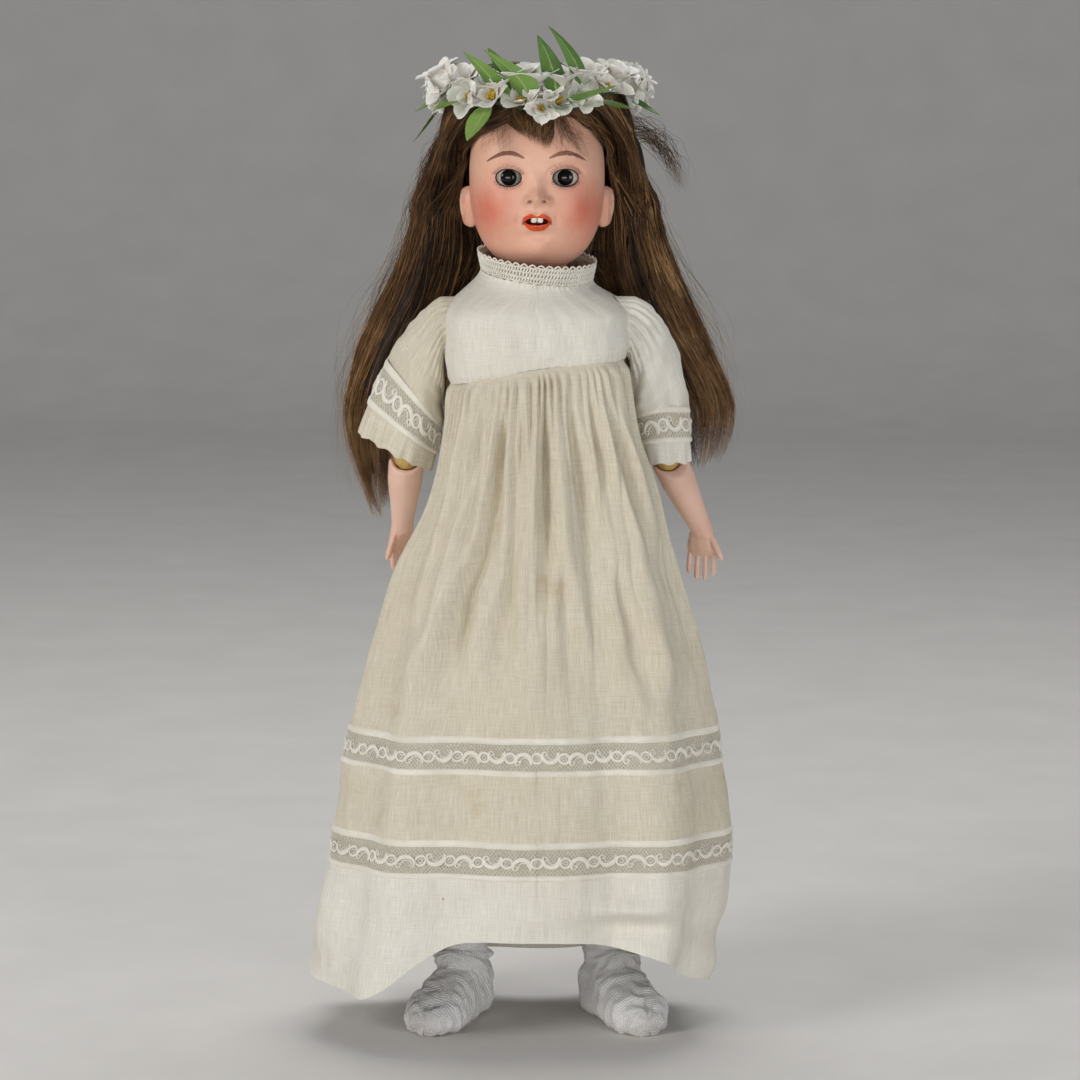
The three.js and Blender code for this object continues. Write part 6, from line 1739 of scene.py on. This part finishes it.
def insertion(name, surface, around, height, margin, edges, out, columns):
    """The worked pattern of an insertion, with a tape along each edge."""
    threads = lace_threads(surface, around, height, margin)
    tapes = [tape(surface, around, *edge, out, columns) for edge in edges]
    return piece(name + "_pattern", *joined(threads, *tapes), LACE_THREAD)


# Sleeves

SLEEVE = {  # inner x and drop, bulge x and drop, outer x and drop, y shift, depth
    LEFT: (60, 80, 94, -8, 96, 76, 5, 24),
    RIGHT: (61, 82, 86, -4, 107, 50, 5, 25),
}
SLEEVE_HEAD, SLEEVE_HEAD_DEPTH = 18.6, 21
CUFF_START = {LEFT: (0.60, 0.84), RIGHT: (0.66, 0.69)}  # under the arm and over it
CUFF_END = {LEFT: 1.035, RIGHT: 1.11}
CUFF_TURN = (0.015, -0.007)  # metres above the elbow where a cuff would start and end its turn, which is not made
CUFF_HEIGHT, CUFF_LACE = 25.0, 15.0
CUFF_TAPES = ((-1.5, 1.6), (13.4, 15.8))
SLEEVE_COLUMNS, HEM_COLUMNS = 200, 400


def sleeve_point(side, angle, s, out=0.0):
    (inner_x, inner_drop, bulge_x, bulge_drop, outer_x, outer_drop, y_shift,
     hem_depth) = SLEEVE[side]
    start = BODICE_HALF_WIDTH + 0.8
    under_x, under_drop = lerp(start, inner_x, s ** 3), lerp(SLEEVE_HEAD, inner_drop, s)
    over_x = (1 - s) ** 2 * start + 2 * s * (1 - s) * bulge_x + s ** 2 * outer_x
    over_drop = -(1 - s) ** 2 * SLEEVE_HEAD + 2 * s * (1 - s) * bulge_drop + s ** 2 * outer_drop
    half_x, half_drop = (over_x - under_x) / 2, (over_drop - under_drop) / 2
    length = np.hypot(half_x, half_drop)
    loose = s * (0.15 + 0.85 * (1 + np.cos(angle)) / 2)
    fold = 1.8 * loose * (np.cos(5 * (angle - np.pi)) - 1)
    share = (1 + (fold + out) / length) * np.cos(angle)
    x = under_x + half_x + half_x * share
    drop = under_drop + half_drop + half_drop * share
    y = s * y_shift + (lerp(SLEEVE_HEAD_DEPTH, hem_depth, s) + fold + out) * np.sin(angle)
    rim_t = np.clip((SHOULDER_Z - drop - WAIST_Z) / (COLLAR_Z - WAIST_Z), 0, 1)
    power = bodice_power(rim_t)
    depth = bodice_half(np.where(y < 0, BODICE_FRONT, BODICE_BACK), rim_t, 1.2)
    deep = np.clip(np.abs(y) / depth, 0, 0.98)
    seat = bodice_half(BODICE_HALF_WIDTH, rim_t, 1.6) * (1 - deep ** power) ** (1 / power) - 1.2
    x = lerp(x, seat, smoothstep(0.04 - s, 0, 0.04))
    return np.stack([side * x, y, SHOULDER_Z - drop], -1)


def cuff_start(side, angle):
    under, over = CUFF_START[side]
    return lerp(under, over, (1 + np.cos(angle)) / 2)


def sleeve(side):
    """A sleeve with its cuff of lace and frilled hem."""
    name = SIDE_NAMES[side]
    sleeve_name, cuff_name = f"sleeve_{name}", f"cuff_{name}"
    lawn = WHITE if side == LEFT else CREAM
    angle, place, around = even_angles(
        SLEEVE_COLUMNS, lambda a: sleeve_point(side, a, np.full_like(a, 0.8)))

    def surface(q, v, out):
        q, v = both(q, v)
        a = np.interp(q % around, np.append(place, around), np.append(angle, TAU))
        s = lerp(cuff_start(side, a), CUFF_END[side], v / CUFF_HEIGHT)
        return sleeve_point(side, a, s, np.asarray(out) - 0.5)

    s = np.linspace(0.0, 1.0, 70)[:, None] * cuff_start(side, angle)[None]
    a, q = np.broadcast_to(angle, s.shape), np.broadcast_to(place, s.shape)
    gather = 0.9 * np.cos(q * TAU / 6.5 + 1.2 * np.sin(q / 19))
    gather = gather * smoothstep(s, 0.0, 0.05) * smoothstep(0.5 - s, 0, 0.4)
    slack = 0.9 * waves(81 + side, q, 70 * s, 12, 46, 24)
    slack = slack + 0.5 * waves(84 + side, q, 70 * s, 9, 26, 12)
    points = sleeve_point(side, a, s, gather + slack * smoothstep(s, 0.05, 0.3) - 0.5)
    upper = ring_cloth(sleeve_name + "_cloth", points, lawn, q, 75 * s, around)
    fitted(upper, f"upper_arm_{name}", "lawn", sleeve_name)
    cloth(upper, CUT_LENGTH["sleeve"])

    q, v = np.broadcast_arrays(place, np.linspace(0, CUFF_LACE, 14)[:, None])
    ground = ring_cloth(cuff_name + "_lace", surface(q, v, 0.0), LACE_GROUND, q, v, around)
    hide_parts(cuff_name)
    trim = insertion(cuff_name, surface, around, CUFF_LACE, 1.0, CUFF_TAPES, 0.8, 360)

    q, v = np.broadcast_arrays(np.arange(HEM_COLUMNS) / HEM_COLUMNS * around,
                               np.linspace(CUFF_LACE, CUFF_HEIGHT, 16)[:, None])
    grow = smoothstep(v, CUFF_LACE, CUFF_HEIGHT)
    ruffle = np.cos(q * TAU / 7.6 + 2.6 * np.sin(q / 11)) * (0.6 + 0.4 * np.sin(q / 17))
    frill = surface(q, v + grow * 0.5 * np.cos(q * TAU / 13.1), grow * ruffle - 0.4)
    hem = ring_cloth(cuff_name + "_hem", frill, lawn, q, v, around)

    elbow = sum(np.array(corner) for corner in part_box(f"elbow_ball_{name}")) / 2
    start, end = (tuple(elbow + [0, 0, level]) for level in CUFF_TURN)
    for part, slot in ((ground, "lace"), (trim, "lace"), (hem, "lawn")):
        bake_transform(part)
        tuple(start)
        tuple(end)
    cloth(ground, CUT_LENGTH["cuff_lace"])
    cloth(hem, CUT_LENGTH["cuff_hem"])


for side in (LEFT, RIGHT):
    sleeve(side)

# Skirt

SKIRT = np.array([  # drop, left, right, front, back, fold, behind the arm
    (-8, 54, 58, 46.5, 43.5, 0.5, 54.6), (8, 56, 62, 48, 44, 0.9, 54.8),
    (40, 65, 71, 51, 45, 2.2, 56.5), (75, 74, 81, 56, 47, 2.8, 58.5),
    (113, 90, 91, 61, 51, 3.2, 69), (168, 107, 104, 69, 57, 3.5, 94),
    (222, 117, 113, 76, 63, 3.5, 118),
    (295, 129, 120, 83, 70, 4, 160), (350, 141, 112, 87, 75, 5, 160),
    (380, 146, 102, 88, 77, 5, 160)], float)
SKIRT_POWER = 2.9
UPPER_LACE, LOWER_LACE, LACE_HEIGHT, HEM_DROP = 213.0, 275.0, 20.0, 372.0
SKIRT_TAPES = ((-2.0, 2.0), (17.6, 21.0))
HEM_LIFT = 39  # at the front
CUT_EASE = 1.03


def skirt_point(angle, drop, out=0.0):
    *sides, fold, behind = (through(SKIRT, column, drop) for column in range(1, 7))
    x, y = outline(angle, *sides, SKIRT_POWER)
    fold = fold * (np.cos(9 * angle + 0.8 * np.sin(2 * angle)) - 1)
    pressed = np.clip(x, -behind, behind)
    x = lerp(x, pressed, smoothstep(y, -32, -20))
    radius = np.hypot(x, y)
    grow = (radius + fold + out) / radius
    x, y = x * grow, y * grow
    slant = 1 - smoothstep(drop, 0, UPPER_LACE)
    way = np.arctan2(x, -y)
    return np.stack([x, y, WAIST_Z + slant * (waist_z(way) - WAIST_Z) - drop], -1)


def hem_drop(angle):
    """How far the hem hangs below the waist, less at the front."""
    turn = np.degrees((angle + np.pi) % TAU - np.pi)
    lift = np.where(turn < 0, np.exp(-((turn / 29) ** 4)), bell(turn, 0, 52))
    return HEM_DROP - HEM_LIFT * lift - 8 * bell(np.abs(turn), 90, 34) * (turn < 0)


SKIRT_COLUMNS, EVEN_DROP = 640, 230.0
skirt_angle, skirt_place, skirt_around = even_angles(
    SKIRT_COLUMNS, lambda a: skirt_point(a, np.full_like(a, EVEN_DROP)))


def creased(phase, sharp):
    """Folds from -1 to 1 with round tops and narrow valleys."""
    return 2 * np.abs(np.cos(phase / 2)) ** sharp - 1


SKIRT_FOLDS = [  # q at its top and low end, first and last drop, depth, half widths at the ends
    (-40, -42, 4, 140, 9.0, 4, 9), (8, 7, 4, 132, 7.5, 4, 7), (76, 92, 6, 128, 8.0, 4, 8),
    (-82, -84, 10, 190, 4.5, 5, 8), (-46, -68, 74, 214, 8.0, 4, 12), (33, 40, 2, 96, 5.5, 3, 7),
    (-18, -16, 2, 76, 4.5, 2.5, 5), (-66, -71, 2, 82, 5.0, 3, 6), (56, 61, 2, 86, 5.0, 3, 6),
    (21, 23, 96, 212, 4.6, 4, 12), (62, 76, 104, 212, 5.0, 4, 11), (-20, -27, 90, 200, 3.8, 4, 10)]
BACK_FOLDS, FRONT_REACH = 16, 150


def long_folds(q, drop):
    """Deep folds that fan out from the waist: the front ones are placed, the back ones drawn."""
    rng = np.random.default_rng(95)
    half = skirt_around / 2
    folds = list(SKIRT_FOLDS)
    for place in np.linspace(FRONT_REACH, skirt_around - FRONT_REACH, BACK_FOLDS):
        place += rng.uniform(-8, 8)
        folds.append((place, place + rng.uniform(-6, 6), 4, rng.uniform(80, 205),
                      rng.uniform(4, 7), 4, rng.uniform(6, 10)))
    total = 0
    for high, low, first, last, depth, thin, wide in folds:
        share = smoothstep(drop, first, last)
        away = np.abs((q - lerp(high, low, share) + half) % skirt_around - half)
        span = lerp(thin, wide, share)
        valley = bell(away, 0, span) - 0.35 * bell(away, 1.9 * span, span)
        fade = 1 - smoothstep(drop, lerp(first, last, 0.55), last)
        total = total - depth * valley * smoothstep(drop, first, first + 46) * fade
    return total


def skirt_ease(q, drop):
    """Gathers under the waist seam, softer folds below them, and creases of old cloth."""
    drift = 4.2 * np.sin(q / 27) + 2.4 * np.sin(q / 10.3 + drop / 90)
    uneven = 0.65 + 0.35 * np.sin(q / 13.7 + 1)
    fine = 2.9 * uneven * creased(q * TAU / 9.2 + drift, 0.8)
    fine = fine * smoothstep(drop, -1, 7) * np.exp(-np.clip(drop, 0, None) / 56)
    broad = creased(q * TAU / 34 + 2.2 * np.sin(q / 61 + drop / 170), 0.8)
    soft = 2.3 * broad * smoothstep(drop, 10, 90) * (1 - 0.85 * smoothstep(drop, 140, 212))
    soft = soft + long_folds(q, drop)
    rumple = 0.9 * waves(91, q, drop, 16, 90, 60) + 0.5 * waves(92, q, drop, 14, 40, 160)
    pinch = 0.7 * creased(q * TAU / 47 + 3 * np.sin(q / 31), 0.6)
    pinch = pinch * smoothstep(drop, 236, 262) * smoothstep(274 - drop, 0, 12)
    low = smoothstep(drop, 296, 340) * (1.8 * waves(93, q, drop, 12, 80, 60))
    seam = -2.6 * smoothstep(4 - drop, 0, 7)
    return fine + soft + (rumple + pinch) * smoothstep(drop, 4, 60) + low + seam - 0.6


def skirt_surface(q, drop, out=0.0):
    """Points of the skirt from lengths around it and down from the waist."""
    q, drop = both(q, drop)
    q = q % skirt_around
    angle = np.interp(q, np.append(skirt_place, skirt_around), np.append(skirt_angle, TAU))
    points = skirt_point(angle, drop, skirt_ease(q, drop) + out)
    x, y, z = np.moveaxis(points, -1, 0)
    front = smoothstep(-y, 20, 50) * smoothstep(drop, 296, 306)
    points[..., 1] -= front * (5.5 * bell(x, 60, 30) * (bell(z, 88, 6) - 1.2 * bell(z, 76, 7)))
    return points


SEAM_Z = WAIST_Z - UPPER_LACE
INNER, OUTER, FAR = 8.0, 30.0, 999
TURN_TOP, TURN_LENGTH = 330.0, 120.0
TURN_ACROSS = (TURN_TOP - SEAM_Z) / TURN_LENGTH / INNER
SHIN_TOP, SHIN_LENGTH = SEAM_Z, 69.0
SHIN_ACROSS = 0.107


def gradient(side, base, slope_x, slope_z):
    """Start and end of a blend whose share is base + slope_x * reach from midline + slope_z * z."""
    slope = np.array([side * slope_x, 0.0, slope_z])
    start = -base * slope / (slope @ slope)
    return world(start), world(start + slope / (slope @ slope))


def gore_list(upper):
    """Gores of one side: reach from the midline, two bodies, and the share's base and slopes."""
    if upper:
        base, slope = TURN_TOP / TURN_LENGTH, -1 / TURN_LENGTH
        return [(0, INNER, "torso", "thigh", base - TURN_ACROSS * INNER, TURN_ACROSS, slope),
                (INNER, FAR, "torso", "thigh", base, 0.0, slope)]
    base, slope = SHIN_TOP / SHIN_LENGTH, -1 / SHIN_LENGTH
    return [(0, INNER, "torso", "thigh", 0.0, TURN_ACROSS, 0.0),
            (INNER, OUTER, "thigh", "lower_leg", base - SHIN_ACROSS * OUTER, SHIN_ACROSS, slope),
            (OUTER, FAR, "thigh", "lower_leg", base, 0.0, slope)]


def strip(bm, side, low, high, name, materials):
    """The part of a mesh between two reaches from the midline, with the whole mesh's normals."""
    part = bm.copy()
    part.faces.ensure_lookup_table()
    out = []
    for face in part.faces:
        away = side * (face.calc_center_median().x - MIDDLE[0] / MM) * MM
        if not low <= away < high:
            out.append(face)
    bmesh.ops.delete(part, geom=out, context="FACES")
    if not part.faces:
        part.free()
        return None
    mesh = bpy.data.meshes.new(name)
    part.to_mesh(mesh)
    part.free()
    normals = np.zeros(len(mesh.vertices) * 3, np.float32)
    mesh.attributes["whole_normal"].data.foreach_get("vector", normals)
    mesh.attributes.remove(mesh.attributes["whole_normal"])
    mesh.normals_split_custom_set_from_vertices(normals.reshape(-1, 3).tolist())
    for material in materials:
        mesh.materials.append(material)
    obj = bpy.data.objects.new(mesh.name, mesh)
    bpy.context.scene.collection.objects.link(obj)
    return obj


def gores(whole, upper, slot, *nodes):
    """Splits a ring of the skirt into gores, with seams on shared lines; the blends that would make
    them follow the legs are worked out but not used.
    """
    made = []
    bm = bmesh.new()
    bm.from_mesh(whole.data)
    for x in (-OUTER, -INNER, 0.0, INNER, OUTER):
        bmesh.ops.bisect_plane(bm, geom=bm.verts[:] + bm.edges[:] + bm.faces[:],
                               plane_co=world([x, 0, 0]), plane_no=(1, 0, 0), dist=1e-7)
    bm.normal_update()
    layer = bm.verts.layers.float_vector.new("whole_normal")
    for vert in bm.verts:
        vert[layer] = vert.normal
    for side, name in SIDE_NAMES.items():
        for low, high, a, b, *share in gore_list(upper):
            title = f"{whole.name}_{name}_{len(made)}"
            obj = strip(bm, side, low, high, title, whole.data.materials)
            if obj is None:
                continue
            start, end = gradient(side, *share)
            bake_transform(obj)
            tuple(start)
            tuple(end)
            for node in nodes:
                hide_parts(node)
            made.append(obj)
    bm.free()
    bpy.data.objects.remove(whole)
    return made


def skirt_panel(name, node, first, last, rows, material, slot, upper=False, bottom=None):
    """A panel between two drops; bottom gives the lower edge by angle where it isn't level."""
    edge = last if bottom is None else bottom(skirt_angle)[None]
    drop = lerp(first, edge, np.linspace(0, 1, rows)[:, None]) * np.ones((1, SKIRT_COLUMNS))
    q = np.broadcast_to(skirt_place, drop.shape)
    whole = ring_cloth(name, skirt_surface(q, drop), material, q, drop, skirt_around)
    for obj in gores(whole, upper, slot, node):
        cloth(obj, (last - first) / MM * CUT_EASE)


def skirt_lace(name, first):
    """An insertion of lace: its worked pattern and tapes, and the net behind them."""
    def surface(q, v, out):
        return skirt_surface(q, first + v, out)

    pattern = insertion(name, surface, skirt_around, LACE_HEIGHT, 2.5, SKIRT_TAPES, 0.9, 900)
    gores(pattern, False, "lace")
    skirt_panel(name + "_ground", name, first, first + LACE_HEIGHT, 16, LACE_GROUND, "lace")


skirt_panel("skirt_upper_cloth", "skirt_upper_panel", -2.5, UPPER_LACE, 150, CREAM, "lawn", True)
skirt_lace("lace_upper", UPPER_LACE)
skirt_panel("skirt_middle_cloth", "skirt_middle_panel", UPPER_LACE + LACE_HEIGHT, LOWER_LACE, 36,
            CREAM, "lawn")
skirt_lace("lace_lower", LOWER_LACE)
skirt_panel("skirt_hem_cloth", "skirt_hem_panel", LOWER_LACE + LACE_HEIGHT, HEM_DROP, 60, WHITE,
            "white_lawn", bottom=hem_drop)

boxes = {"cad": CAD_BOX, "visual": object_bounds()}
{key: [[float(c) for c in corner] for corner in box] for key, box in boxes.items()}
